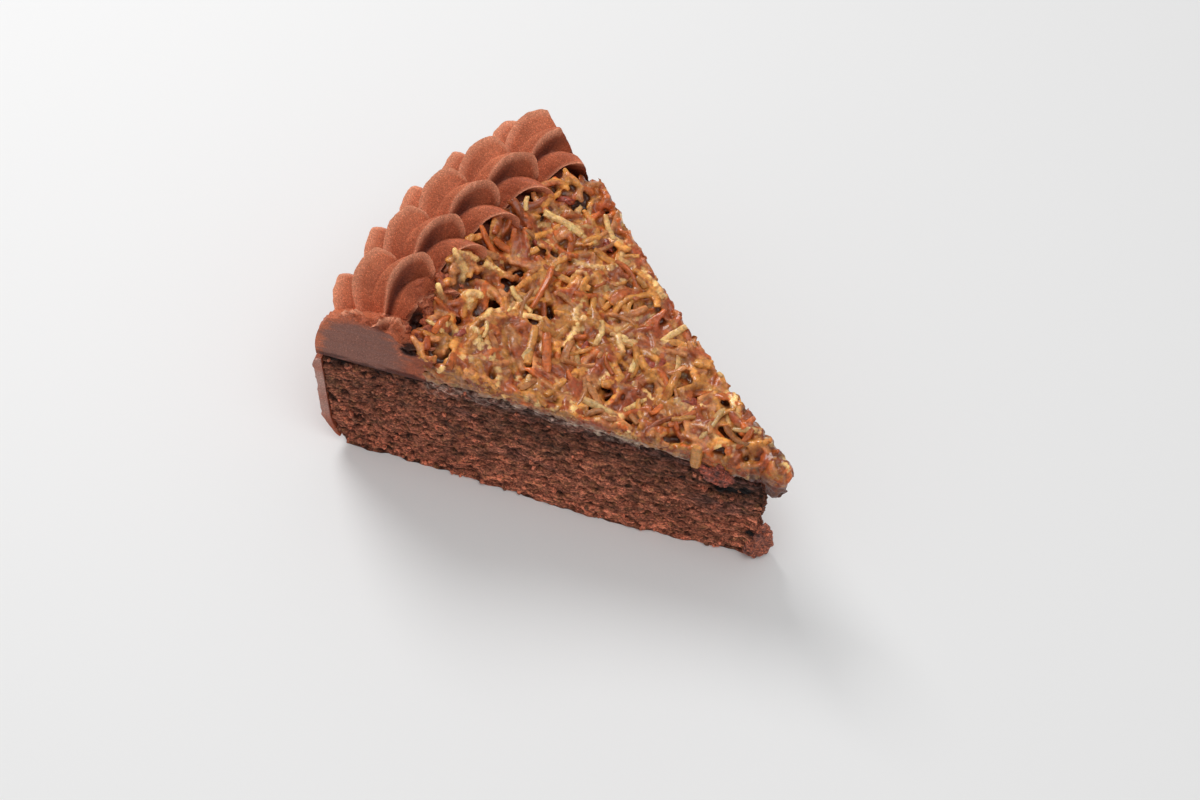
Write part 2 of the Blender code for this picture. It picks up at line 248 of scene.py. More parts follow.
def nearest(spots, points):
    """For each point, the number of the nearest spot and how far off it is."""
    tree = KDTree(len(spots))
    for number, spot in enumerate((spots * MM).tolist()):
        tree.insert(spot, number)
    tree.balance()
    found = [tree.find(point) for point in (points * MM).tolist()]
    return np.array([hit[1] for hit in found]), np.array([hit[2] for hit in found]) / MM


def sponge_top(radius):
    reach = np.maximum(0.0, 1.0 - radius / TIP_DROP_REACH)
    return SPONGE_HEIGHT - TIP_DROP * reach ** TIP_DROP_POWER


def sponge_side(height):
    below = np.maximum(0.0, 1.0 - height / FOOT_CHAMFER_HEIGHT)
    return SPONGE_RADIUS - FOOT_CHAMFER * below ** 1.5


def bed_side(height):
    return np.minimum(BED_INNER_LIMIT, BED_INNER + (height - SPONGE_HEIGHT) * BED_SLOPE)


def topping_top(radius, turn):
    outward = np.maximum(0.0, (radius - TOPPING_RISE_FROM) / (BED_INNER - TOPPING_RISE_FROM))
    tipward = np.maximum(0.0, 1.0 - radius / (0.6 * TOPPING_RISE_FROM))
    return TOPPING_LEVEL + TOPPING_RISE * outward ** 1.5 + (1.5 + 1.2 * tipward) * turn / HALF


# Meshes

def block(counts):
    """A closed cube from 0 to 1, divided along x, y and z: its points' x, y and z, and its faces."""
    shape = tuple(count + 1 for count in counts)
    number = np.arange(math.prod(shape)).reshape(shape)
    sides = []
    for axis in range(3):
        for end in (0, -1):
            sheet = np.take(number, end, axis=axis)
            quads = np.stack([sheet[:-1, :-1], sheet[1:, :-1], sheet[1:, 1:], sheet[:-1, 1:]], -1)
            quads = quads.reshape(-1, 4)
            sides.append(quads[:, ::-1] if (end == 0) != (axis == 1) else quads)
    used, faces = np.unique(np.concatenate(sides), return_inverse=True)
    steps = np.stack(np.unravel_index(used, shape), axis=1)
    return (steps / np.array(counts)).T, faces.reshape(-1, 4).tolist()


def tube(rings, sides):
    """Faces of a closed body of rings between a first and a last point."""
    number = 1 + np.arange(rings * sides).reshape(rings, sides)
    after = np.roll(number, -1, axis=1)
    faces = np.stack([number[:-1], after[:-1], after[1:], number[1:]], -1).reshape(-1, 4).tolist()
    faces += [[0, after[0, i], number[0, i]] for i in range(sides)]
    faces += [[1 + rings * sides, number[-1, i], after[-1, i]] for i in range(sides)]
    return faces


def lump(centre, radii, turn, seed, rings=7, sides=12, rough=0.28):
    """A rough rounded crumb, chunk or nut piece: its points and faces."""
    tall = np.repeat(np.linspace(-1, 1, rings + 2)[1:-1], sides) * math.pi / 2
    angle = np.tile(np.arange(sides) * 2 * math.pi / sides, rings)
    ball = columns(np.cos(tall) * np.cos(angle), np.cos(tall) * np.sin(angle), np.sin(tall))
    ball = np.concatenate([[[0, 0, -1.0]], ball, [[0, 0, 1.0]]])
    ball *= (1 + rough * field(ball, 0.6, seed, octaves=2))[:, None]
    spin = np.array(Matrix.Rotation(turn, 3, "Z") @ Matrix.Rotation(0.5 * turn, 3, "X"))
    return centre + (ball * np.array(radii)) @ spin.T, tube(rings, sides)


def new_object(name, data):
    item = bpy.data.objects.new(name, data)
    bpy.context.scene.collection.objects.link(item)
    return item


def add_piece(name, points, faces, tint=None, material=None, sharp=None):
    """A mesh object from points and faces, with a colour for each point."""
    data = bpy.data.meshes.new(name)
    data.from_pydata((points * MM).tolist(), [], faces)
    data.shade_smooth()
    item = new_object(name, data)
    if tint is not None:
        set_tint(item, tint)
    if material:
        data.materials.append(material)
    if sharp:
        data.set_sharp_from_angle(angle=math.radians(sharp))
    return item


def set_tint(item, tint):
    colours = np.ones((len(tint), 4), np.float32)
    colours[:, :3] = tint
    layer = item.data.color_attributes.new("tint", "FLOAT_COLOR", "POINT")
    layer.data.foreach_set("color", colours.ravel())


def read_mesh(item):
    """The mesh's points and their normals."""
    read = np.empty((2, len(item.data.vertices) * 3), np.float32)
    item.data.vertices.foreach_get("co", read[0])
    item.data.vertex_normals.foreach_get("vector", read[1])
    points, normals = read.reshape(2, -1, 3).astype(float)
    return points / MM, normals


def write_points(item, points):
    item.data.vertices.foreach_set("co", (points * MM).astype(np.float32).ravel())
    item.data.update()


def apply_modifiers(item):
    """Replace the object's mesh by the one its modifiers make."""
    graph = bpy.context.evaluated_depsgraph_get()
    data = bpy.data.meshes.new_from_object(item.evaluated_get(graph))
    item.modifiers.clear()
    item.data = data


def finish_piece(item, slot, *nodes):
    """The piece rides with the cake and stands for these solids."""
    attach(item, "root")
    if nodes:
        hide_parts(*nodes)


def outward(points, faces):
    """The faces of a closed body, turned so that all of them face out."""
    corners = np.array([(face[0], face[k], face[k + 1]) for face in faces
                        for k in range(1, len(face) - 1)])
    first, second, third = points[corners].transpose(1, 0, 2)
    volume = (first * np.cross(second, third)).sum()
    return faces if volume > 0 else [face[::-1] for face in faces]


class Heap:
    """Closed things gathered into one mesh, with a colour for each or for each point."""

    def __init__(self):
        self.points, self.faces, self.tint, self.count = [], [], [], 0

    def add(self, points, faces, tint):
        self.points.append(points)
        self.faces += [[corner + self.count for corner in face] for face in outward(points, faces)]
        self.tint.append(np.broadcast_to(tint, points.shape))
        self.count += len(points)

    def build(self, name, material=None, sharp=None):
        return add_piece(name, np.concatenate(self.points), self.faces,
                         np.concatenate(self.tint), material, sharp)


# Materials

SOCKETS = {
    "rough": "Roughness", "specular": "Specular IOR Level", "scatter": "Subsurface Weight",
    "coat": "Coat Weight", "coat_rough": "Coat Roughness", "sheen": "Sheen Weight",
}


def start_material(name, **values):
    """A material whose colour will be the piece's tint, with these values on its shader."""
    material = bpy.data.materials.new(name)
    material.use_nodes = True
    tree = material.node_tree
    shader = tree.nodes["Principled BSDF"]
    shader.inputs["Subsurface Radius"].default_value = (1, 0.4, 0.2)
    shader.inputs["Subsurface Scale"].default_value = 1.2 * MM
    for key, value in values.items():
        shader.inputs[SOCKETS[key]].default_value = value
    return material, tree, shader


def add_node(tree, kind, **values):
    node = tree.nodes.new(kind)
    for key, value in values.items():
        if key in node.inputs:
            node.inputs[key].default_value = value
        else:
            setattr(node, key, value)
    return node


def noise_at(tree, size, detail, stretch=(1, 1, 1), roughness=0.5):
    """A noise texture whose blotches are about so many mm across."""
    place_at = add_node(tree, "ShaderNodeTexCoord")
    scale = add_node(tree, "ShaderNodeMapping")
    scale.inputs["Scale"].default_value = [1 / (size * MM * part) for part in stretch]
    texture = add_node(tree, "ShaderNodeTexNoise", Scale=1.0, Detail=detail, Roughness=roughness)
    tree.links.new(place_at.outputs["Object"], scale.inputs["Vector"])
    tree.links.new(scale.outputs["Vector"], texture.inputs["Vector"])
    return texture.outputs["Fac"]


def map_range(tree, value, *ends):
    """The value taken from one range, low and high, to another."""
    node = add_node(tree, "ShaderNodeMapRange")
    for key, number in zip(("From Min", "From Max", "To Min", "To Max"), ends):
        node.inputs[key].default_value = number
    tree.links.new(value, node.inputs["Value"])
    return node.outputs["Result"]


def tinted(tree, shader, shades):
    """The tint, made lighter and darker by each of these values taken to another range."""
    colour = add_node(tree, "ShaderNodeAttribute", attribute_name="tint").outputs["Color"]
    for value, *ends in shades:
        scale = add_node(tree, "ShaderNodeVectorMath", operation="SCALE")
        tree.links.new(colour, scale.inputs[0])
        tree.links.new(map_range(tree, value, *ends), scale.inputs["Scale"])
        colour = scale.outputs["Vector"]
    tree.links.new(colour, shader.inputs["Base Color"])


def bumped(tree, shader, layers):
    """Fine relief from heights, each with its depth in mm."""
    normal = None
    for height, depth in layers:
        bump = add_node(tree, "ShaderNodeBump", Strength=1.0, Distance=depth * MM)
        tree.links.new(height, bump.inputs["Height"])
        if normal:
            tree.links.new(normal, bump.inputs["Normal"])
        normal = bump.outputs["Normal"]
    tree.links.new(normal, shader.inputs["Normal"])


def sponge_material():
    material, tree, shader = start_material("chocolate_sponge", rough=0.85, specular=0.25, sheen=0.05)
    crumb = noise_at(tree, 0.55, 4, (1.3, 1.3, 0.8), 0.65)
    patch = noise_at(tree, 8, 3, (1.5, 1.5, 0.6))
    layer = noise_at(tree, 0.9, 3, (2.8, 2.8, 0.5), 0.7)
    # The crumb noise darkens the low spots of its own bump: partly the crumb's own tone, partly
    # painted shade in the gaps between crumbs.
    tinted(tree, shader, [(crumb, 0.3, 0.7, 0.1, 1.98), (layer, 0.34, 0.66, 0.3, 1.7),
                          (patch, 0.3, 0.7, 0.76, 1.22)])
    bumped(tree, shader, [(crumb, 0.5), (layer, 0.6)])
    return material


def icing_material():
    material, tree, shader = start_material("chocolate_icing", specular=0.22, scatter=0.06)
    grain = noise_at(tree, 0.5, 3, roughness=0.6)
    cloud = noise_at(tree, 5, 3)
    speck = noise_at(tree, 0.32, 1)
    tinted(tree, shader, [(grain, 0.3, 0.7, 0.74, 1.24), (speck, 0.57, 0.68, 1.0, 1.6),
                          (cloud, 0.3, 0.7, 0.93, 1.07)])
    tree.links.new(map_range(tree, grain, 0.3, 0.7, 0.38, 0.62), shader.inputs["Roughness"])
    bumped(tree, shader, [(grain, 0.22), (speck, 0.08)])
    return material


def caramel_material(name, gloss, scatter):
    material, tree, shader = start_material(
        name, specular=0.3, scatter=scatter, coat=0.45, coat_rough=0.05)
    goo = noise_at(tree, 0.9, 3, roughness=0.6)
    patch = noise_at(tree, 4, 2)
    tinted(tree, shader, [(goo, 0.3, 0.7, 0.68, 1.32), (patch, 0.3, 0.7, 0.86, 1.16)])
    tree.links.new(map_range(tree, patch, 0.35, 0.65, gloss - 0.12, gloss + 0.18),
                   shader.inputs["Roughness"])
    bumped(tree, shader, [(goo, 0.28)])
    return material


def nut_material():
    material, tree, shader = start_material(
        "pecan", rough=0.4, specular=0.35, scatter=0.15, coat=0.3, coat_rough=0.1)
    shader.inputs["Subsurface Scale"].default_value = 1.0 * MM
    ridge = noise_at(tree, 0.9, 3, (2.2, 0.7, 1))
    tinted(tree, shader, [(ridge, 0.3, 0.7, 0.6, 1.5)])
    bumped(tree, shader, [(ridge, 0.35)])
    return material


# The sponge

# How many faces each body has outwards, round and up before it is shaped
SPONGE_CELLS, SIDE_CELLS, CORE_CELLS = (270, 12, 96), (6, 150, 72), (200, 110, 18)
BED_CELLS, WEDGE_CELLS = (56, 200, 12), (84, 4, 56)
# The crumb is fine and layered up to the first radius, and coarse past the second
COARSE_FROM, COARSE_TO = 70, 108
# How much of the way across each cut's relief reaches in
EDGE_SHARE = 0.3
# How far apart the two cuts' crumb is drawn, so that they differ
CUTS_APART = 60.0
GAP_DEPTH = 1.3
# Crumbs that stand out near the tip: radius, turn and height, then size, spin and colour
BIG_CRUMBS = (
    ((2.8, 8.0, 7.8), (3.2, 2.8, 5.8), 0.4, SPONGE_RED),
    ((3.9, -5.0, 3.6), (3.4, 3.0, 4.4), 0.2, SPONGE_RED),
    ((16.2, -24.2, 35.2), (5.2, 2.6, 3.0), 0.35, SPONGE_FLESH),
)
# Voids near the tip, painted near black as shade: radius, turn and height, then half the length and
# half the height
SPONGE_HOLES = (
    (12.8, -22.5, 27.4, 6.2, 2.7),
    (5.4, -22.5, 10.3, 1.9, 1.9),
    (8.4, -22.5, 29.6, 2.2, 2.2),
)


def crag(radius, height, side):
    """The torn, layered relief that the solid has."""
    def noise_on(size_along, size_up, layer):
        return field(columns(radius / size_along, layer, height / size_up), 1.0)

    big = noise_on(CRAG_SIZE, CRAG_SIZE / CRAG_FLATTEN, side * 9.0)
    fine = noise_on(CRAG_SIZE / 2.3, CRAG_SIZE / CRAG_FLATTEN / 1.7, side * 5.0)
    near_icing = clamp((SPONGE_RADIUS - radius) / CRAG_FADE)
    return CRAG_DEPTH * near_icing * (big + 0.6 * fine)


def front_relief(radius, height):
    relief = crag(radius, height, 0)
    for out, at_radius, at_height, wide, tall in FRONT_SWELLINGS:
        relief = relief + out * bell(radius, at_radius, wide) * bell(height, at_height, tall)
    return relief


def tip_radius(height):
    return TIP_RADIUS + sum(back * bell(height, at, tall) for back, at, tall in TIP_STEPS)


def crumb_relief(spots, coarse):
    """Pores and crumbs: how far out each point stands, and how deep in a pore it is."""
    near, _ = cells(spots, 2.1, 1, (1.5, 1, 0.7))
    small, second = cells(spots, 1.25, 2, (1.5, 1, 0.75))
    streak = field(spots, 1.3, 3, (3.6, 1, 0.6), 3)
    rough = field(spots, 1.5, 4, (1.3, 1, 0.9), 3)
    pore = 1 - ramp(near, 0.25, 0.54 + 0.18 * rough)
    gap = 1 - ramp(second - small, 0.03, 0.3)
    pit = 1 - ramp(small, 0.2, 0.5)
    crack = ramp(-streak, 0.05, 0.5)
    depth = coarse * (0.9 * pore + 0.45 * gap + 0.5 * pit) + (1 - coarse) * (
        0.3 * pore + 0.45 * pit + 0.85 * crack)
    relief = 0.5 * rough + 0.3 * (1 - coarse) * streak - 1.1 * depth
    return relief, np.clip(depth, 0, 1.4)


def hole_shade(points):
    """How deep in one of the voids near the tip each point is, where black shade is painted."""
    shade = np.zeros(len(points))
    for radius, turn, height, along, tall in SPONGE_HOLES:
        at = place(radius, turn, height)
        aside = (points - at) @ level(turn)
        off = np.hypot(aside / along, (points[:, 2] - at[2]) / tall)
        near = np.linalg.norm(points[:, :2] - at[:2], axis=1) < 1.3 * along
        shade = np.maximum(shade, (1 - ramp(off, 0.6, 1.1)) * near)
    return shade


def seam_film(spots, below):
    """How much of the pale film under the topping lies on each point."""
    radius = spots[:, 0]
    film = field(spots, 1.1, 10, (2.2, 1, 0.8), 3)
    reach = blend(2.0, 4.6, ramp(radius, 60, 92)) * (1 + 0.8 * film)
    film = (1 - ramp(below, 0.3 * reach, reach)) * ramp(film, -0.25, 0.3)
    return film * ramp(radius, 30, 45) * (1 - ramp(radius, 96, 99))


def sponge_tint(spots, on_front, coarse, smear, depth, gap):
    """Red-brown crumb, with painted shade in its pores and in the gap under the icing, darker below
    the topping, with a knife's smear.
    """
    radius, _, height = spots.T
    below = sponge_top(radius) - height
    warm = field(spots, 5, 6, (1.6, 1, 0.8), 3)
    low = 1 - ramp(height, 4, 26)
    tint = mix(SPONGE_BROWN, SPONGE_RED, 0.45 + 0.5 * warm + 0.3 * low + 0.15 * coarse)
    tint = mix(tint, SPONGE_OLIVE, 0.7 * field(spots, 1.3, 7, (1.5, 1, 0.8), 2))
    tint = mix(tint, SPONGE_SMEAR, 0.75 * smear)
    # Painted shade: the crumb is darker the deeper a point lies in a pore.
    tint = mix(tint, SPONGE_PORE_SHADE, 0.9 * clamp(depth) ** 1.1)
    lines = field(spots, 1.8, 14, (4, 1, 0.5), 3)
    high = 1 - ramp(below, 5, 23)
    shade = blend(1.0, blend(0.55, 0.92, ramp(radius, 66, 92)), high)
    tint = tint * np.maximum(0.1, shade * (1 + 0.7 * lines * (1 - 0.5 * coarse)))[:, None]
    # Painted shade: the gap under the icing's bed is near black.
    tint = mix(tint, PAINTED_SHADE_BLACK, 0.95 * gap)
    return mix(tint, SEAM_FILM, 0.55 * on_front * seam_film(spots, below))


def make_sponge(material):
    (out, across, up), faces = block(SPONGE_CELLS)
    end = blend(tip_radius(up * sponge_top(0.0)), sponge_side(up * SPONGE_HEIGHT), out)
    height = up * sponge_top(end)
    below = sponge_top(end) - height
    front = clamp(1 - across / EDGE_SHARE)
    back = clamp(1 - (1 - across) / EDGE_SHARE)
    spots = columns(end, across * CUTS_APART, height)
    on_front = across < 0.5
    coarse = np.where(on_front, ramp(end, COARSE_FROM, COARSE_TO), 0.7)
    relief, depth = crumb_relief(spots, coarse)
    patches = ramp(field(spots, 13, 9, (1.8, 1, 0.8), 2), 0.1, 0.55) * ramp(height, 12, 24)
    smear = clamp(on_front * (1 - coarse) * (1 - ramp(below, 0, 7) + patches))
    relief *= blend(1.0, 0.55, smear)
    uneven = 3.0 * field(spots, 3, 8, (1.5, 1, 1), 2)
    # The gap under the icing's bed is pressed in here and later painted near black as shade.
    gap = (1 - ramp(below + uneven, 1.4, 4.2)) * ramp(end, BED_INNER - 2, BED_INNER + 3)
    relief -= GAP_DEPTH * gap
    ends = np.maximum(bell(out, 0, 0.004), bell(out, 1, 0.004))
    radial = np.where(out < 0.5, 1.0, -1.0) * ends * (1 - np.maximum(front, back)) * -relief
    points = place(end + radial, blend(-HALF, HALF, across), height)
    relief *= ramp(height, 0, 0.6)
    points += (front * (front_relief(end, height) + relief))[:, None] * outwards(FRONT)
    points += (back * (crag(end, height, 1) + relief))[:, None] * outwards(BACK)
    tint = sponge_tint(spots, on_front, coarse, smear, depth, gap)
    sponge = Heap()
    # Painted shade: the voids near the tip are near black on the crumb and on its big crumbs.
    sponge.add(points, faces, mix(tint, PAINTED_SHADE_BLACK, hole_shade(points)))
    for number, (centre, size, turn, colour) in enumerate(BIG_CRUMBS):
        crumb, sides = lump(place(*centre), size, turn, 12 + number, 26, 44, 0.5)
        crumb[:, 2] = np.maximum(crumb[:, 2], 0.05)
        tint = mix(SPONGE_SMEAR, colour, 0.6 + 1.2 * field(crumb, 1.1, 13, octaves=2))
        sponge.add(crumb, sides, mix(tint, PAINTED_SHADE_BLACK, hole_shade(crumb)))
    finish_piece(sponge.build("sponge_crumb", material), "sponge", "sponge")


CRUMB_COUNT = 240


def make_crumbs(material):
    """Small crumbs that cling to both cuts, most of them low down."""
    draw = random.Random(SEED + 2)
    heap = Heap()
    for number in range(CRUMB_COUNT):
        side = FRONT if draw.random() < 0.6 else BACK
        radius = draw.uniform(8, 126)
        low = draw.random() ** 1.8
        height = blend(0.4, float(sponge_top(radius)) - 0.5, low)
        size = draw.triangular(0.25, 0.95, 0.45)
        spot = np.array([radius]), np.array([height])
        relief = front_relief(*spot) if side == FRONT else crag(*spot, 1)
        centre = place(radius, side * HALF, max(height, size)) + (relief[0] - 0.1) * outwards(side)
        tint = mix(SPONGE_BROWN, SPONGE_RED, np.array(draw.uniform(0, 1.3)))
        crumb, faces = lump(centre, np.array([1.2, 1, 0.8]) * size, draw.uniform(0, 3), number, 4, 7)
        crumb[:, 2] = np.maximum(crumb[:, 2], 0.02)
        heap.add(crumb, faces, tint)
    finish_piece(heap.build("clinging_crumbs", material), "sponge")


# Icing

def make_side_icing(material):
    (out, across, up), faces = block(SIDE_CELLS)
    top = blend(SIDE_TOP, SPONGE_HEIGHT - 0.1, ramp(across, 0.03, 0.14))
    height = blend(SIDE_BOTTOM, top, up)
    rise = clamp((height - SIDE_BOTTOM) / (1.6 * SIDE_TAPER_HEIGHT))
    taper = blend(SIDE_TAPER, 1.0, np.sin(math.pi / 2 * rise))
    arc = SPONGE_RADIUS * np.radians(blend(-HALF, HALF, across))
    spots = columns(arc, 0, height)
    waves = 0.34 * field(spots, 9, 21, (1, 1, 0.5), 2)
    waves += 0.3 * field(spots, 2.5, 25, octaves=2) * bell(across, 0, 0.02)
    streaks = 0.16 * field(spots, 1.6, 22, (9, 1, 0.6), 3)
    rim = np.sqrt(np.clip(1 - (2 * np.abs(up - 0.5)) ** 24, 0.05, 1))
    thickness = (SIDE_THICKNESS * taper + waves + streaks) * rim
    edge = 0.25 * np.sqrt(clamp(1 - (2 * np.abs(out - 0.5)) ** 2))
    points = place(sponge_side(height) + GAP + thickness * out, blend(-HALF, HALF, across), height)
    points -= ((across == 0) * edge - (across == 1) * edge)[:, None] * outwards(BACK)
    cut = np.maximum(across == 0, across == 1)
    tint = mix(ICING, ICING_DEEP, 0.4 + 0.5 * field(spots, 8, 23, (2, 1, 1), 2))
    blotch = field(spots, 3, 24, (1, 1, 1.6), 3)
    tint = mix(tint, SIDE_CUT, 0.85 * cut * ramp(height, 6, 16) * (0.8 + 0.5 * blotch))
    coat = Heap()
    coat.add(points, faces, tint)
    finish_piece(coat.build("side_icing_coat", material, sharp=40), "side_icing", "side_icing")


# How blunt a shell's fins end on its inner side and on its outer one
INNER_HEAD_BLUNT, OUTER_HEAD_BLUNT = 2.0, 6.0
# The last full shell runs on into the far cut, which leans inwards through the shells
CUT_HEAD_LENGTH = 2.4
FAR_LEAN = 3.8
LEAN_FROM, LEAN_RISE = 47, 15
TAIL_LIMIT = BED_OUTER - 5
# How finely a shell is divided: rings along it, and steps round each fin
SHELL_RINGS, FIN_STEPS = 89, 20
# Points within these of a cut or of a shell's own points belong to it
ON_CUT, ON_SHELL = 0.35, 1.0
# Holes in the icing: radius, turn, height, half the width and half the height
CAVITIES = ((103.4, -16.8, 53.0, 3.0, 4.6), (101.2, -22.6, 52.6, 2.1, 1.6))
# How high the icing stands at these radii, where the knife has torn it at the front cut
TORN_RADII = (96.0, 102.6, 104.0, 110.0, 120.0)
TORN_HEIGHTS = (50.0, 53.0, 57.6, 58.9, 60.2)
TORN_END = 121
# How high the first shell's crushed inner side stands
CRUSHED_LEVEL = 54.2
# Where the icing is grainy: radius and turn, then how wide and how far round
TORN_ICING = ((100.0, -16.5, 6.5, 8.0), (108.0, -22.0, 9.0, 3.2), (119.0, -22.0, 9.0, 3.0))


def on_inner_side(turn):
    """How far round a fin is from the first one, and whether it faces the coconut."""
    inwards = (turn - FIN_FIRST + 180) % 360 - 180
    return inwards, ramp(inwards, 8, -2)


def star(turn, depth, along):
    """The nozzle's star, dragged over: each fin has a flat back and a hollow under its edge.

    Also tells how near a crest each point is, and how far into the shaded part of a hollow.
    """
    step = 360.0 / FINS
    share = (FIN_FIRST - turn) % step / step
    valley = blend(*FIN_VALLEY, ramp(along, 0.45, 0.9))
    under = 1 - (1 - clamp(share / valley)) ** 2
    back = (1 - clamp((share - valley) / (1 - valley))) ** FIN_BACK
    hollow = np.where(share < valley, under, back)
    lip = FIN_LIP * np.maximum(bell(share, 0, 0.04), bell(share, 1, 0.07))
    inwards, inner = on_inner_side(turn)
    shade = ramp(share, 0.01, 0.07) * (1 - ramp(share, valley + 0.02, valley + 0.35))
    shade *= (1 - ramp(along, 0.66, 0.97)) * blend(0.2, 1.0, inner)
    shade = np.maximum(shade, 0.95 * ramp(inwards, -step - 1, -step - 8) * (inwards > -170))
    groove = blend(FIN_GROOVE + 0.14, FIN_GROOVE, inner)
    return blend(1.0, groove, hollow * depth) + lip * depth, 1 - hollow, shade * depth


def shell_width(along, blunt):
    """How wide a shell is from its tail (0) to its head (1), as a share of its radius."""
    tail = np.sin(math.pi / 2 * clamp(along / SHELL_BELLY)) ** SHELL_TAIL_FULLNESS
    past = clamp((along - SHELL_BELLY) / (1 - SHELL_BELLY))
    return tail * np.sqrt(clamp(1 - past ** blunt))


def piped_shell(centre_turn, size, seed, plain_tail=False, cut_head=False):
    """One piped shell: it widens from its tail to a blunt head, where its fins curl inwards.

    Gives its points and faces, how near a crest each point is, and how much painted shade it takes in
    a hollow.
    """
    path = SHELL_PATH_RADIUS + SHELL_PATH_DRIFT * (centre_turn - HALF) / HALF
    radius = SHELL_RADIUS * size
    lean, turned = math.radians(SHELL_LEAN), math.radians(SHELL_TURN)
    rings, sides = SHELL_RINGS, FINS * FIN_STEPS
    steps = 1 - (1 - np.linspace(0, 1, rings + 2)) ** 1.7
    along = np.concatenate([[0.0], np.repeat(steps[1:-1], sides), [1.0]])
    fin = FIN_FIRST + np.arange(sides) * 360.0 / sides
    fin = np.concatenate([[0.0], np.tile(fin, rings), [0.0]])
    inner_blunt = OUTER_HEAD_BLUNT if cut_head else INNER_HEAD_BLUNT
    blunt = blend(OUTER_HEAD_BLUNT, inner_blunt, on_inner_side(fin)[1])
    width = radius * shell_width(along, blunt)
    head = np.minimum(1.0, (1.0 - along) / SHELL_SMOOTH_HEAD)
    section, crest, shade = star(fin, head * ramp(along, 0.5, 1.0) if plain_tail else head, along)
    curl = clamp((along - SHELL_CURL_FROM) / (1 - SHELL_CURL_FROM)) ** 1.45
    angle = np.radians(fin - SHELL_CURL * curl)
    ring = columns(np.cos(angle), np.sin(angle), along * 4 + seed * 3)
    ray = width * section * (1 + 0.02 * field(ring, 0.22, seed) * crest)
    sideways, upwards = SHELL_WIDE * ray * np.sin(angle), ray * np.cos(angle)
    past_belly = along > SHELL_BELLY
    length = SHELL_LENGTH * np.where(past_belly & cut_head, CUT_HEAD_LENGTH, 1.0)
    forward = (along - SHELL_BELLY) * length + upwards * math.sin(lean)
    forward -= sideways * math.sin(turned)
    tucked = clamp((along - SHELL_BELLY) / (1 - SHELL_BELLY)) ** 1.5
    inwards, downwards = SHELL_TUCK
    height = SHELL_AXIS_HEIGHT - SHELL_SINK * (radius - width) * (tucked == 0)
    height += upwards * math.cos(lean) - downwards * tucked
    reach = path + sideways * math.cos(turned) - inwards * tucked
    if plain_tail:
        reach = np.minimum(reach, TAIL_LIMIT)
    points = place(reach, centre_turn - HALF + np.degrees(forward / path), height)
    return points, tube(rings, sides), crest * head, shade


def make_bed():
    (out, across, up), faces = block(BED_CELLS)
    height = blend(SPONGE_HEIGHT + GAP, BED_TOP, up)
    turn = blend(-HALF - BED_OVERRUN, HALF + BED_OVERRUN, across)
    inward = np.maximum(0.0, turn + HALF) * math.radians(1) * BED_OUTER
    lip = BED_LIP_HEIGHT * up * np.exp(-(inward / BED_LIP_DEPTH) ** 2)
    inner = bed_side(height + BED_LIP_SLOPE * lip)
    outer = BED_OUTER - BED_SIDE_SLOPE * (height + lip - SPONGE_HEIGHT - BED_UPRIGHT) * up
    crown = BED_CROWN * np.sin(math.pi * out) * up
    points = place(blend(inner, outer, out), turn, height + lip + crown)
    points[:, 2] += up * 0.35 * field(points, 1.6, 31, octaves=2)
    return points, faces


def far_lean(height):
    """How far the far cut leans inwards through the shells."""
    return FAR_LEAN * np.clip((height - LEAN_FROM) / LEAN_RISE, 0, 1.2)


def make_wedge():
    """What is left after both cuts, with the knife's level streaks on its two upright faces."""
    (out, across, up), faces = block(WEDGE_CELLS)
    height = blend(SPONGE_HEIGHT + GAP, SPONGE_HEIGHT + 30, up)
    points = place(blend(0.7 * BED_INNER, 1.06 * BED_OUTER, out), blend(-HALF, HALF, across),
                   height)
    radius, _ = polar(points)
    spots = columns(radius, 0, height)
    streaks = 0.14 * (field(spots, 2.2, 11, (5, 1, 0.5), 2) + 0.5 * field(spots, 1.1, 12))
    points += ((across == 0) * streaks)[:, None] * outwards(FRONT)
    points += ((across == 1) * (streaks - far_lean(height)))[:, None] * outwards(BACK)
    return points, faces


def icing_cavities():
    """Rough holes where the icing has torn from the coconut; make_border paints their insides near
    black as shade.
    """
    for number, (radius, turn, height, wide, tall) in enumerate(CAVITIES):
        centre = place(radius, turn, height)
        yield lump(centre, np.array([wide, 0.8 * wide, tall]), 0.7, number + 20, 14, 24)


def fuse_border(shells):
    """The bed and the shells as one body, with its holes and its cuts."""
    bed, faces = make_bed()
    border = add_piece("border_icing_shells", bed, outward(bed, faces))
    bodies = [("UNION", shell[:2]) for shell in shells]
    bodies += [("DIFFERENCE", cavity) for cavity in icing_cavities()]
    bodies.append(("INTERSECT", make_wedge()))
    tools = []
    for operation, (points, faces) in bodies:
        tools.append(add_piece("boolean_tool", points, outward(points, faces)))
        change = border.modifiers.new("Fused or cut", "BOOLEAN")
        change.operation, change.solver, change.object = operation, "MANIFOLD", tools[-1]
    apply_modifiers(border)
    for tool in tools:
        bpy.data.objects.remove(tool, do_unlink=True)
    border.data.materials.clear()
    return border


def press_down(points, radius, turn):
    """Lower the icing where it is torn at the front cut, and where the first shell is crushed.

    Gives how crushed each point is.
    """
    uneven = 1.3 * field(points * (1, 1, 0), 1.6, 38, octaves=3)
    torn = np.interp(radius, TORN_RADII, TORN_HEIGHTS) + uneven
    over = np.maximum(0, points[:, 2] - torn) * ramp(turn, -14.5, -18.5) * (radius < TORN_END)
    points[:, 2] -= 0.85 * over
    crushed = ramp(turn, -7.0, -10.0) * (1 - ramp(radius, 103.6, 105.6))
    points[:, 2] -= 0.9 * np.maximum(0, points[:, 2] - CRUSHED_LEVEL - 1.4 * uneven) * crushed
    return crushed


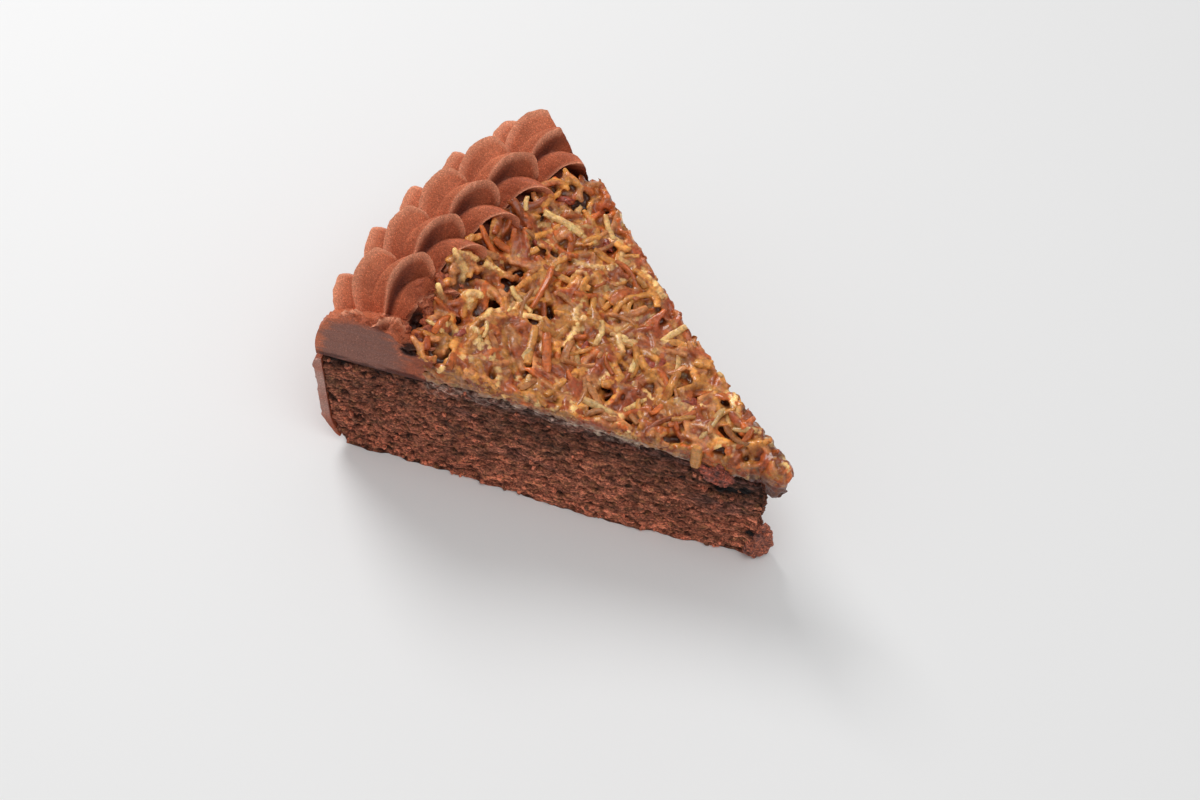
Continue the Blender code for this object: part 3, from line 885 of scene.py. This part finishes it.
def cavity_share(points):
    """How far inside one of the holes each point is."""
    share = np.zeros(len(points))
    for radius, turn, height, wide, tall in CAVITIES:
        off = (points - place(radius, turn, height)) / (wide, wide, tall)
        share = np.maximum(share, 1 - ramp(np.linalg.norm(off, axis=1), 1.05, 1.45))
    return share


def make_border(material):
    draw = random.Random(SEED)
    shells = [piped_shell(SHELL_FIRST, 1.0 - SHELL_UNEVEN_SIZE, 1)]
    for count in range(SHELL_COUNT - 1):
        uneven = SHELL_UNEVEN_TURN * draw.uniform(-1, 1)
        size = 1.0 + SHELL_UNEVEN_SIZE * draw.uniform(-1, 1)
        shells.append(piped_shell(
            SHELL_SECOND + SHELL_PITCH * count + uneven, size, count + 2,
            plain_tail=count == SHELL_COUNT - 2, cut_head=count == SHELL_COUNT - 3))
    border = fuse_border(shells)
    points, normals = read_mesh(border)
    radius, turn = polar(points)
    shell_points, crest, shade = (np.concatenate([shell[part] for shell in shells])
                                  for part in (0, 2, 3))
    at, off = nearest(shell_points, points)
    crest, shade = crest[at] * (off < ON_SHELL), shade[at] * (off < ON_SHELL)
    cut_face = beyond(points, FRONT) > -ON_CUT
    cut_face |= beyond(points, BACK) + far_lean(points[:, 2]) > -ON_CUT
    around = ~cut_face & (points[:, 2] > SPONGE_HEIGHT + 1)
    inside = np.zeros(len(points))
    inside[cut_face] = nearest(points[around], points[cut_face])[1]
    grain = field(points, 0.8, 33, octaves=2)
    crumbly = field(points, 1.5, 37, octaves=3)
    torn = np.max([bell(radius, at_radius, wide) * bell(turn, at_turn, round_by)
                   for at_radius, at_turn, wide, round_by in TORN_ICING], axis=0)
    crushed = press_down(points, radius, turn)
    out = (0.11 * grain + 0.95 * torn * crumbly) * ~cut_face
    write_points(border, points + normals * out[:, None])

    height = points[:, 2]
    ragged = field(columns(radius, turn, height), 2.4, 34, (2.5, 1, 0.7), 3)
    # The torn icing is darker where it is pressed in: painted shade in its dents.
    tint = mix(ICING_DEEP, ICING, 0.85 + 0.4 * grain - 0.5 * torn * (crumbly < 0))
    tint = mix(tint, ICING_LIT, 0.2 + 0.35 * ramp(radius, 108, 122)
               + 0.3 * field(points, 7, 35, octaves=2))
    # Painted highlight: a light line along the fins' crests.
    tint = mix(tint, ICING_RIM_HIGHLIGHT, 0.9 * ramp(crest, 0.94, 0.99) * ramp(height, 47, 50))
    # Painted shade in the fins' hollows and under the inner fins.
    tint = mix(tint, ICING_PAINTED_SHADE, 0.9 * shade * (1 - 0.7 * crushed))
    # Painted shade on the low icing by the coconut, under the inner fins.
    inland = clamp((105 - radius) / 8) * ~cut_face * (1 - 0.6 * crushed)
    tint = mix(tint, ICING_PAINTED_SHADE, 0.75 * ramp(50.5 - height, -3, 3) * inland)
    smear = ramp(inside + 1.8 * ragged, 1.0, 3.0)
    smear *= ramp(radius + 6 * ragged, 98, 107)
    tint = mix(tint, ICING_CUT, 0.92 * smear * cut_face)
    # Painted shade along the icing's foot, in the gap over the sponge.
    foot = height - SPONGE_HEIGHT + 1.6 * ragged
    tint = mix(tint, ICING_PAINTED_SHADE, 0.9 * (1 - ramp(foot, 0.6, 2.0)))
    # Painted shade: the icing in and round the torn holes is near black.
    set_tint(border, mix(tint, PAINTED_SHADE_BLACK, 0.92 * cavity_share(points)))
    border.data.materials.append(material)
    border.data.shade_smooth()
    border.data.set_sharp_from_angle(angle=math.radians(55))
    finish_piece(border, "border_icing", "border_icing")


ICING_CRUMB_COUNT = 46
ICING_CRUMB_TOP = 53.6
CAVITY_CLEARANCE = 3.6


def make_icing_crumbs(material):
    """Torn bits of icing where the first shell is crushed, next to the coconut."""
    draw = random.Random(SEED + 3)
    heap = Heap()
    hole_radius, hole_turn, *_ = CAVITIES[0]
    for number in range(ICING_CRUMB_COUNT):
        radius, turn = draw.uniform(98.5, 105.0), draw.uniform(-19.5, -8.0)
        size = draw.triangular(0.7, 2.4, 1.2)
        off = place(radius, turn, 0) - place(hole_radius, hole_turn, 0)
        if np.hypot(*off[:2]) < CAVITY_CLEARANCE:
            continue
        height = float(np.interp(radius, TORN_RADII, TORN_HEIGHTS)) + draw.uniform(-1.6, 0.4)
        height = min(height, ICING_CRUMB_TOP + draw.uniform(-1.0, 0.6))
        crumb, faces = lump(place(radius, turn, height), np.array([1.3, 0.9, 0.8]) * size,
                            draw.uniform(0, 3), number, 11, 18, 0.6)
        dark = 0.5 + 0.9 * field(crumb, 1.0, 39, octaves=2)
        heap.add(crumb, faces, mix(mix(ICING, ICING_LIT, np.array(draw.random())), ICING_DEEP, dark))
    finish_piece(heap.build("icing_crumbs", material), "border_icing")


# The coconut topping

# Hollows: radius and turn, how wide and how deep
HOLLOWS = (
    (89.7, -6.8, 2.4, 6.0), (88.8, -0.4, 1.7, 4.5), (77.2, -0.7, 1.7, 4.5), (81.7, -4.5, 1.3, 4.0),
    (82.9, -6.2, 1.2, 4.0), (79.6, 5.2, 1.8, 3.5), (101.9, 14.4, 1.7, 5.0), (65.9, -14.0, 0.8, 3.0),
    (72.2, -10.7, 0.9, 3.0), (103.6, -16.8, 2.4, 6.0), (104.2, 2.0, 2.2, 5.0),
    (101.9, -1.2, 1.6, 4.5), (104.6, 10.9, 2.2, 5.0), (105.0, 19.4, 2.4, 5.0),
    (100.8, -22.0, 1.5, 4.5), (97.7, -9.6, 1.2, 3.5), (36.8, 11.7, 1.0, 3.0), (102.5, -8.4, 1.6, 4.0),
)
# Strands that lie on top where the photograph shows them: from, through and to, each as a radius
# and a turn, then the width, the colour and how far the strand stands proud
STRANDS = (
    ((98.0, 11.0), (93.0, 12.8), (86.9, 13.7), 2.0, "cream", 1.4),
    ((85.3, 13.2), (84.9, 15.0), (84.9, 16.9), 2.4, "gold", 1.2),
    ((100.0, 1.5), (96.6, 2.3), (93.4, 3.3), 2.2, "orange", 0.9),
    ((84.2, 9.0), (85.1, 7.0), (84.9, 5.2), 1.8, "gold", 1.2),
    ((84.9, 5.6), (82.2, 2.2), (80.3, -3.6), 1.8, "orange", 1.8),
    ((82.6, 5.7), (78.1, 7.0), (73.4, 8.2), 1.9, "gold", 0.8),
    ((81.8, 14.1), (78.8, 15.2), (75.6, 16.2), 2.4, "gold", 1.2),
    ((88.4, -13.4), (86.4, -15.5), (84.5, -17.7), 1.6, "cream", 1.1),
    ((85.1, -12.8), (82.7, -14.2), (80.7, -15.5), 1.9, "tan", 0.7),
    ((76.5, -6.2), (74.2, -10.5), (72.4, -15.0), 2.4, "gold", 1.2),
    ((73.2, -5.8), (69.9, -10.0), (66.9, -14.6), 2.6, "orange", 0.9),
    ((66.7, -3.8), (65.5, -7.1), (64.6, -10.4), 2.2, "tan", 1.0),
    ((87.3, -3.6), (84.6, -2.8), (82.2, -1.9), 1.9, "gold", 1.0),
    ((97.2, -18.1), (96.5, -16.2), (95.9, -14.3), 2.0, "orange", 2.0),
    ((39.0, 9.1), (37.4, 2.7), (36.3, -4.0), 2.3, "gold", 1.6),
    ((50.8, 4.6), (49.6, 1.3), (48.5, -2.1), 1.5, "cream", 1.3),
    ((48.5, 14.8), (45.9, 17.6), (42.3, 19.9), 1.9, "gold", 0.9),
    ((61.9, -14.0), (63.0, -17.3), (64.3, -20.5), 2.2, "gold", 1.4),
    ((60.9, -9.2), (60.4, -11.6), (60.1, -14.0), 1.9, "gold", 1.0),
    ((56.2, -12.3), (53.1, -14.4), (50.1, -16.9), 2.1, "tan", 1.1),
    ((70.5, -16.9), (70.3, -18.3), (70.0, -19.7), 1.7, "cream", 0.9),
    ((57.1, 4.2), (55.0, 5.6), (53.0, 7.0), 2.2, "cream", 1.0),
    ((60.3, 3.7), (58.5, 5.2), (56.2, 6.3), 1.2, "cream", 1.3),
    ((63.7, 8.4), (65.0, 13.0), (62.2, 20.6), 2.0, "gold", 1.2),
    ((49.9, 13.1), (50.0, 18.2), (49.5, 22.2), 1.7, "cream", 1.0),
    ((38.8, 17.0), (36.8, 20.1), (35.6, 22.4), 2.8, "gold", 1.3),
    ((103.3, 10.1), (102.4, 9.4), (100.8, 8.7), 1.4, "cream", 0.8),
)
# The flat chip over the front cut: radius, height, length, width and thickness
CHIP = (22.3, 41.0, 9.0, 3.0, 1.4)
# Layers of fused strands: how many, from and to what height over the heap's surface, and how
# likely each colour is
LAYERS = (
    (360, -2.7, -1.4, (2, 12, 22, 22, 42)),
    (560, -1.4, 0.0, (8, 24, 24, 20, 24)),
    (380, -0.2, 1.1, (16, 32, 24, 16, 12)),
)
CUT_STRANDS = 190
WOUND_STRANDS = 44
LOOSE_STRANDS = 70
STRAND_REACH = 104.0
CORE_SUNK = 2.5
CORE_INSET = 0.8
# The coconut is heaped up against the shells
RIDGE_HEIGHT = 3.0
RIDGE_AT = 103.5
RIDGE_WIDTH = 4.5
# The tongue over the tip and the drop below it, then lumps that round the heap off behind them:
# radius, turn and height, then size
TONGUE_AT, TONGUE_SIZE = (0.9, 0.0, 42.0), (3.4, 3.4, 4.2)
DROP_AT, DROP_SIZE = (1.1, 0.0, 37.2), (2.7, 2.7, 4.8)
SHOULDERS = (
    ((4.0, 20.0, 43.0), (3.4, 3.4, 2.8)),
    ((9.0, 20.0, 42.6), (4.0, 3.4, 2.6)),
    ((15.0, 21.0, 42.8), (4.0, 2.6, 2.6)),
)
VOXEL = 0.42
# Nothing is trimmed round the tip
NO_LIMIT = 1000.0
# Keeps the fused mass under 200,000 triangles
MASS_SHARE = 0.8
# Pecan pieces: radius, turn and size
PECANS = (
    (46.4, 4.5, 3.4), (44.2, 6.8, 2.6), (98.5, 15.4, 2.2), (82.5, 17.6, 2.2), (91.4, -15.6, 2.2),
    (68.0, 15.0, 1.9), (62.6, -3.2, 1.9), (30.7, 2.0, 2.0), (94.0, 6.8, 1.8),
)


def hollow_depth(points):
    """How deep the hollows dip at each point."""
    dip = np.zeros(len(points))
    for radius, turn, wide, deep in HOLLOWS:
        off = np.hypot(*(points[:, :2] - place(radius, turn, 0)[:2]).T)
        dip = np.maximum(dip, deep * np.exp(-(off / (0.72 * wide)) ** 4))
    return dip


def heap_height(points):
    """The lumpy surface that the heap of strands keeps to."""
    radius, turn = polar(points)
    spots = columns(radius, radius * np.radians(turn), 0)
    lumps = LUMP_DEPTH * field(spots, LUMP_SIZE) + 0.5 * field(spots, 2.2, 5)
    ridge = RIDGE_HEIGHT * bell(radius, RIDGE_AT, RIDGE_WIDTH) * ramp(turn, -18, -12) * (
        1 - 0.7 * ramp(turn, 16.5, 21))
    return topping_top(radius, turn) - 1.0 + lumps + ridge


def topping_edge(turn):
    """How far out the coconut reaches, up against the shells."""
    turn = np.atleast_1d(turn)
    wave = np.array([noise.noise((value / 3.2, 4.0, 0.0)) for value in turn])
    at_cut = bell(turn, -HALF, 2.2)
    return (105.0 + 1.2 * wave - 4.6 * bell(turn, -14.0, 4.0) * (1 - at_cut) - 8.0 * at_cut
            - 3.5 * bell(turn, HALF, 2.6))


def strand(path, width, thickness, roll, sides=6, across=None, square=4.0):
    """A flat strip of coconut along a path: its points and faces."""
    along = np.gradient(path, axis=0)
    along /= np.linalg.norm(along, axis=1)[:, None]
    flat = np.cross(along, UP) if across is None else np.broadcast_to(across, along.shape)
    flat = flat / np.linalg.norm(flat, axis=1)[:, None]
    over = np.cross(flat, along)
    cos, sin = math.cos(roll), math.sin(roll)
    wide, thick = cos * flat + sin * over, cos * over - sin * flat
    slim = 1 - 0.25 * np.abs(np.linspace(-1, 1, len(path))) ** 6
    angles = (np.arange(sides) + 0.5) * 2 * math.pi / sides
    boxy = (np.abs(np.cos(angles)) ** square + np.abs(np.sin(angles)) ** square) ** (-1 / square)
    section = np.stack([boxy * np.cos(angles) * width / 2, boxy * np.sin(angles) * thickness / 2])
    spread = wide[:, None] * section[0][None, :, None] + thick[:, None] * section[1][None, :, None]
    points = (path[:, None] + spread * slim[:, None, None]).reshape(-1, 3)
    number = np.arange(len(path) * sides).reshape(-1, sides)
    after = np.roll(number, -1, axis=1)
    quads = np.stack([number[:-1], number[1:], after[1:], after[:-1]], -1).reshape(-1, 4)
    return points, [*quads.tolist(), number[0].tolist(), number[-1, ::-1].tolist()]


def resting(line, lift):
    """A stiff line laid over the lumpy surface: it follows the ground, but not its small dips."""
    ground = heap_height(line)
    share = np.linspace(-1, 1, len(line))
    laid = np.polyval(np.polyfit(share, ground, 2), share)
    line = line.copy()
    line[:, 2] = np.maximum(laid, ground - 0.3) + lift - 0.8 * hollow_depth(line)
    return line


def random_spot(draw, inner):
    """A radius and a turn, spread evenly over the topping past an inner radius."""
    radius = math.sqrt(draw.uniform(inner ** 2, STRAND_REACH ** 2))
    return radius, draw.uniform(-HALF, HALF)


def random_line(draw, radius, turn, length, steps):
    """A gently bowed level line through a spot."""
    yaw = draw.uniform(0, math.pi)
    bow, twist = draw.uniform(-0.16, 0.16) * length, draw.uniform(-0.1, 0.1) * length
    share = np.linspace(-1, 1, steps)
    ahead = np.array([math.cos(yaw), math.sin(yaw), 0])
    aside = np.array([-math.sin(yaw), math.cos(yaw), 0])
    centre = place(radius, turn, 0.0)
    return (centre + 0.5 * length * share[:, None] * ahead
            + (bow * (1 - share ** 2) + twist * share ** 3)[:, None] * aside)


def tilted(draw, most, line):
    """How much higher one end lies than the other, along a line."""
    return draw.uniform(-most, most) * np.linspace(-1, 1, len(line))


def strand_colour(draw, weights):
    """One of the strands' colours, each as likely as its weight."""
    colour = STRAND_COLOURS[draw.choices(list(STRAND_COLOURS), weights)[0]]
    return colour * draw.uniform(0.68, 1.12)


def make_core():
    (out, across, up), faces = block(CORE_CELLS)
    turn = blend(-HALF, HALF, across)
    low = blend(TOPPING_TIP, BED_INNER - GAP, out)
    high = blend(TOPPING_TIP, topping_edge(turn), out)
    radius = blend(low, high, up)
    top = place(high, turn, 0.0)
    sunk = CORE_SUNK * (1 - 0.5 * bell(high, RIDGE_AT - 2, 1.3 * RIDGE_WIDTH))
    sunk *= blend(0.5, 1.0, ramp(high, 15, 50))
    height = heap_height(top) - sunk - hollow_depth(top)
    bottom = sponge_top(radius) + GAP
    points = place(radius, turn, blend(bottom, np.maximum(height, bottom + 0.5), up))
    points -= CORE_INSET * (across == 0)[:, None] * outwards(FRONT)
    return points - CORE_INSET * (across == 1)[:, None] * outwards(BACK), faces


def add_tangle(heap, draw, samples):
    """Coated strands in layers: the lowest half drowned, the highest lying free."""
    for count, lowest, highest, weights in LAYERS:
        made = 0
        while made < count:
            radius, turn = random_spot(draw, 1.6 * TOPPING_TIP)
            if radius > topping_edge(turn)[0]:
                continue
            made += 1
            length = draw.triangular(4.5, 16, 8) * min(1.0, 0.35 + radius / 40)
            length *= 1 - 0.5 * float(ramp(radius, 88, 98))
            line = random_line(draw, radius, turn, length, 7)
            if hollow_depth(line).max() > 1.5 and draw.random() < 0.85:
                continue
            reach, at = polar(line)
            if (reach > topping_edge(at) + 1.2).any():
                continue
            tilt = tilted(draw, 1.2, line)
            line = resting(line, draw.uniform(lowest, highest) + tilt)
            width, thickness = draw.triangular(1.3, 2.8, 1.9), draw.uniform(1.0, 1.7)
            colour = strand_colour(draw, weights)
            heap.add(*strand(line, width, thickness, draw.uniform(-0.8, 0.8)), colour)
            samples.append((line, colour))


def add_cut_strands(heap, draw, samples, side):
    """Chopped strands that show in the band of topping on a cut."""
    for _ in range(CUT_STRANDS):
        radius = draw.uniform(6, 97)
        low = float(sponge_top(radius)) + 0.8
        height = draw.uniform(low, float(topping_top(radius, side * HALF)) - 0.5)
        slope = draw.gauss(0, 0.6)
        length = draw.uniform(2, 7)
        share = np.linspace(-1, 1, 5)
        reach = radius + 0.5 * length * math.cos(slope) * share
        line = place(reach, side * HALF, height + 0.5 * length * math.sin(slope) * share)
        line[:, 2] = np.maximum(line[:, 2], sponge_top(reach) + 0.7)
        line += draw.uniform(-1.1, 0.2) * outwards(side)
        colour = strand_colour(draw, (10, 24, 30, 10, 26))
        width = draw.uniform(1.0, 2.0)
        heap.add(*strand(line, width, 1.1, draw.uniform(-1, 1)), colour)
        samples.append((line, colour))


def add_tip_lump(heap, draw, samples):
    """The tongue that hangs over the tip, with strands wound round it."""
    heap.add(*lump(place(*TONGUE_AT), TONGUE_SIZE, math.radians(20), 2, 14, 24, 0.5), CARAMEL)
    heap.add(*lump(place(*DROP_AT), DROP_SIZE, 0.0, 7, 14, 24, 0.5), CARAMEL)
    for centre, size in SHOULDERS:
        heap.add(*lump(place(*centre), size, 0.5, 9), CARAMEL)
    for number in range(WOUND_STRANDS):
        at, size = ((TONGUE_AT, TONGUE_SIZE), (DROP_AT, DROP_SIZE))[number % 2]
        out = np.array([draw.gauss(0.4, 1), draw.gauss(0, 1), draw.gauss(0, 1)])
        out /= np.linalg.norm(out)
        ahead = np.cross(out, [draw.gauss(0, 1), draw.gauss(0, 1), draw.gauss(0, 1)])
        ahead /= np.linalg.norm(ahead)
        share = np.linspace(-1, 1, 6)[:, None]
        half = draw.uniform(1.6, 3.2)
        line = place(*at) + out * (0.96 - 0.3 * share ** 2) * np.array(size) + half * share * ahead
        colour = strand_colour(draw, (8, 30, 20, 26, 16))
        heap.add(*strand(line, draw.uniform(1.0, 1.8), 1.0, 0.0), colour)
        samples.append((line, colour))


def standing(points, normals, cell=0.5, reach=3):
    """How far each point stands over the mean height of the ground about it."""
    spots = np.floor((points[:, :2] - points[:, :2].min(axis=0)) / cell).astype(int) + reach
    total = np.zeros(spots.max(axis=0) + reach + 1)
    count = np.zeros_like(total)
    on_top = (normals[:, 2] > 0.1) & (points[:, 2] > SPONGE_HEIGHT)
    np.add.at(total, tuple(spots[on_top].T), points[on_top, 2])
    np.add.at(count, tuple(spots[on_top].T), 1.0)
    for axis in (0, 1):
        shifts = range(-reach, reach + 1)
        total = sum(np.roll(total, shift, axis) for shift in shifts)
        count = sum(np.roll(count, shift, axis) for shift in shifts)
    count = count[tuple(spots.T)]
    mean = total[tuple(spots.T)] / np.maximum(count, 1)
    return np.where(count > 8, points[:, 2] - mean, 0.0)


def topping_tint(points, normals, samples):
    """Coconut where a strand is near, caramel between, with painted shade in the gaps and painted
    light on what stands up, a smear at the seam.
    """
    radius, _ = polar(points)
    proud = standing(points, normals)
    at, off = nearest(np.concatenate([line for line, _ in samples]), points)
    colours = np.array([colour for line, colour in samples for _ in line])[at]
    edge = np.maximum(beyond(points, FRONT), beyond(points, BACK))
    sunk = heap_height(points) - points[:, 2]
    coating = field(points, 2.2, 42, octaves=3)
    bare = 0.22 + 0.55 * ramp(off, 0.8, 1.5) + 0.55 * coating
    bare += 0.3 * ramp(sunk, -0.4, 1.0) * ramp(-edge, 0.5, 2)
    tint = mix(colours, CARAMEL, bare)
    tint = mix(tint, CARAMEL_RED, 0.8 * ramp(field(points, 7, 44, octaves=2), 0.15, 0.5))
    inland = ramp(-edge, 0.6, 2.0)
    # Painted shade: the topping darkens where it lies sunk below its heap and below the ground about
    # it.
    tint = mix(tint, CARAMEL_PAINTED_SHADE, 0.94 * ramp(sunk, 0.6, 2.5) * inland)
    tint = mix(tint, CARAMEL_PAINTED_SHADE, 0.8 * ramp(-proud, 0.1, 1.3) * inland)
    # Painted light: what stands over the ground about it is made lighter.
    tint = tint * (1 + 0.35 * ramp(proud, 0.1, 0.9))[:, None]
    at_cut = ramp(edge, -1.5, -0.3)
    seam = (1 - ramp(points[:, 2] - sponge_top(radius), 0.8, 3.2)) * at_cut
    tint = mix(tint, SEAM_SMEAR, 0.75 * seam)
    streak = columns(radius, 0, points[:, 2])
    pale = ramp(field(streak, 1.0, 45, (2.5, 1, 0.7), 2), -0.15, 0.35)
    tint = mix(tint, SEAM_PALE, 0.75 * pale * seam)
    # Painted shade between the strands in the band on the cuts.
    tint = mix(tint, CARAMEL_PAINTED_SHADE, 0.5 * at_cut * ramp(off, 0.7, 1.3))
    # The drop under the tip is darker low down: partly chocolate crumb stuck to it, partly painted
    # shade on its underside.
    ragged = 2.5 * field(points, 2, 46, octaves=2)
    hanging = (1 - ramp(points[:, 2] + ragged, 38.0, 42)) * (radius < 8)
    return mix(tint, DROP_CRUMB_AND_SHADE, 0.9 * hanging)


def trim_to_cuts(points):
    """Push what sticks out of either cut back to a rough surface near it."""
    radius, _ = polar(points)
    for side in (FRONT, BACK):
        over = beyond(points, side)
        limit = 0.45 + 0.7 * field(points, 1.8, 41, octaves=2)
        in_border = (radius > bed_side(points[:, 2]) + 0.8) & (
            (points[:, 2] < BED_TOP + BED_CROWN) | (side == FRONT))
        limit = np.where(in_border, -1.5, limit)
        if side == BACK:
            limit += 2.0 * bell(radius, 9, 9)
        limit = np.where(radius > 2.5 * TOPPING_TIP, limit, NO_LIMIT)
        points -= np.maximum(0, over - limit)[:, None] * outwards(side)


def make_mass(material):
    draw = random.Random(SEED)
    heap, samples = Heap(), []
    heap.add(*make_core(), CARAMEL)
    add_tangle(heap, draw, samples)
    for side in (FRONT, BACK):
        add_cut_strands(heap, draw, samples, side)
    add_tip_lump(heap, draw, samples)
    mass = heap.build("coconut_topping_mass")
    fuse = mass.modifiers.new("Sticky mass", "REMESH")
    fuse.mode, fuse.voxel_size = "VOXEL", VOXEL * MM
    soften = mass.modifiers.new("Coated edges", "SMOOTH")
    soften.factor, soften.iterations = 0.5, 1
    fewer = mass.modifiers.new("Fewer flat faces", "DECIMATE")
    fewer.ratio = MASS_SHARE
    apply_modifiers(mass)
    points, normals = read_mesh(mass)
    trim_to_cuts(points)
    write_points(mass, points)
    set_tint(mass, topping_tint(points, normals, samples))
    mass.data.materials.append(material)
    mass.data.shade_smooth()
    finish_piece(mass, "coconut_topping", "coconut_topping")


def add_coated(heap, line, width, thickness, roll, colour):
    """A strand with rough flanks, caramel on it here and there."""
    points, faces = strand(line, width, thickness, roll, 12, square=3.0)
    points += 0.22 * columns(*(field(points, 1.1, seed) for seed in (51, 52, 53)))
    heap.add(points, faces, mix(colour, CARAMEL, 0.15 + 0.9 * field(points, 2.4, 54, octaves=2)))


def make_strands(material):
    """The strands that lie free on the heap, where the photograph shows them and between."""
    draw = random.Random(SEED + 1)
    loose = Heap()
    for start, middle, end, width, name, proud in STRANDS:
        knots = [place(radius, turn, 0.0) for radius, turn in (start, middle, end)]
        share = np.linspace(0, 1, 13)[:, None]
        bend = 2 * knots[1] - 0.5 * (knots[0] + knots[2])
        line = (1 - share) ** 2 * knots[0] + 2 * share * (1 - share) * bend + share ** 2 * knots[2]
        line = resting(line, proud)
        line[:, 2] += 0.15 * field(line, 2, 43)
        add_coated(loose, line, width, 0.66 * width, draw.uniform(-0.5, 0.5), STRAND_COLOURS[name])
    made = 0
    while made < LOOSE_STRANDS:
        radius, turn = random_spot(draw, 3 * TOPPING_TIP)
        line = random_line(draw, radius, turn, draw.triangular(3.5, 12, 6), 9)
        reach, at = polar(line)
        if (reach > topping_edge(at) - 0.5).any() or (np.abs(at) > HALF).any():
            continue
        if hollow_depth(line).max() > 1.5 or reach.min() < 2 * TOPPING_TIP:
            continue
        made += 1
        tilt = tilted(draw, 0.9, line)
        line = resting(line, draw.uniform(0.5, 1.3) + tilt)
        width, thickness = draw.uniform(1.2, 2.2), draw.uniform(0.9, 1.4)
        add_coated(loose, line, width, thickness, draw.uniform(-0.8, 0.8),
                   strand_colour(draw, (20, 32, 24, 14, 10)))
    radius, height, tall, wide, thick = CHIP
    line = place(radius, -HALF, height - np.linspace(-0.5, 0.5, 9) * tall)
    line += 0.9 * outwards(FRONT)
    loose.add(*strand(line, wide, thick, 0.0, 10, across=level(-HALF)), STRAND_COLOURS["gold"])
    finish_piece(loose.build("coconut_strands", material, sharp=50), "coconut_topping")


def make_nuts(material):
    nuts = Heap()
    for number, (radius, turn, size) in enumerate(PECANS):
        spot = place(np.array([radius]), turn, 0.0)
        spot[:, 2] = heap_height(spot) + 0.15 * size
        radii = np.array([1.15, 0.6, 0.45]) * size
        nuts.add(*lump(spot[0], radii, number * 1.9, number + 3, 14, 24, 0.4), NUT)
    finish_piece(nuts.build("pecan_pieces", material), "coconut_topping")


# The camera and the lights, in metres, and the floor

CAMERA_AT = (0.1836625, -0.232257, 0.429527)
CAMERA_AZIMUTH, CAMERA_ELEVATION, CAMERA_ROLL = 37.705, 54.33, 2.36
LENS = 54.3
WORLD_LIGHT = 0.42
FLOOR_REACH = 3000.0


def make_camera():
    azimuth, elevation, roll = map(math.radians, (CAMERA_AZIMUTH, CAMERA_ELEVATION, CAMERA_ROLL))
    back = Vector((0, -math.cos(elevation), math.sin(elevation)))
    right = Vector((1, 0, 0))
    up = back.cross(right)
    tilted_right = math.cos(roll) * right + math.sin(roll) * up
    tilted_up = math.cos(roll) * up - math.sin(roll) * right
    spin = Matrix.Rotation(azimuth, 3, "Z")
    turned = Matrix([spin @ axis for axis in (tilted_right, tilted_up, back)]).transposed().to_4x4()
    turned.translation = Vector(CAMERA_AT)
    data = bpy.data.cameras.new("camera")
    data.sensor_width, data.lens, data.clip_start = 36.0, LENS, 0.01
    camera = new_object("camera", data)
    camera.matrix_world = turned
    bpy.context.scene.camera = camera


def add_light(name, at, size, power):
    data = bpy.data.lights.new(name, "AREA")
    data.shape, data.size, data.energy = "DISK", size, power
    light = new_object(name, data)
    light.location = at
    light.rotation_mode = "QUATERNION"
    light.rotation_quaternion = Vector(at).to_track_quat("Z", "Y")


def make_floor():
    material = bpy.data.materials.new("pale_floor")
    material.use_nodes = True
    shader = material.node_tree.nodes["Principled BSDF"]
    shader.inputs["Base Color"].default_value = (0.87, 0.87, 0.87, 1)
    shader.inputs["Roughness"].default_value = 0.6
    corners = FLOOR_REACH * np.array([(-1, -1, 0), (1, -1, 0), (1, 1, 0), (-1, 1, 0)])
    floor = add_piece("floor", corners, [(0, 1, 2, 3)], material=material)


def make_studio():
    world = bpy.data.worlds.new("studio")
    world.use_nodes = True
    background = world.node_tree.nodes["Background"]
    background.inputs["Color"].default_value = (1.0, 1.0, 1.0, 1)
    background.inputs["Strength"].default_value = WORLD_LIGHT
    bpy.context.scene.world = world
    add_light("key", (-0.8, 0.25, 0.85), 0.5, 6.2)
    add_light("top", (0.4, -0.15, 1.2), 0.9, 4.3)
    view = bpy.context.scene.view_settings
    view.view_transform = "Standard"
    view.look = "None"


make_camera()
make_studio()
make_floor()
crumb = sponge_material()
icing = icing_material()
make_sponge(crumb)
make_crumbs(crumb)
make_side_icing(icing)
make_border(icing)
make_icing_crumbs(icing)
make_mass(caramel_material("caramel_coconut", 0.3, 0.25))
make_strands(caramel_material("coconut_strand", 0.38, 0.3))
make_nuts(nut_material())
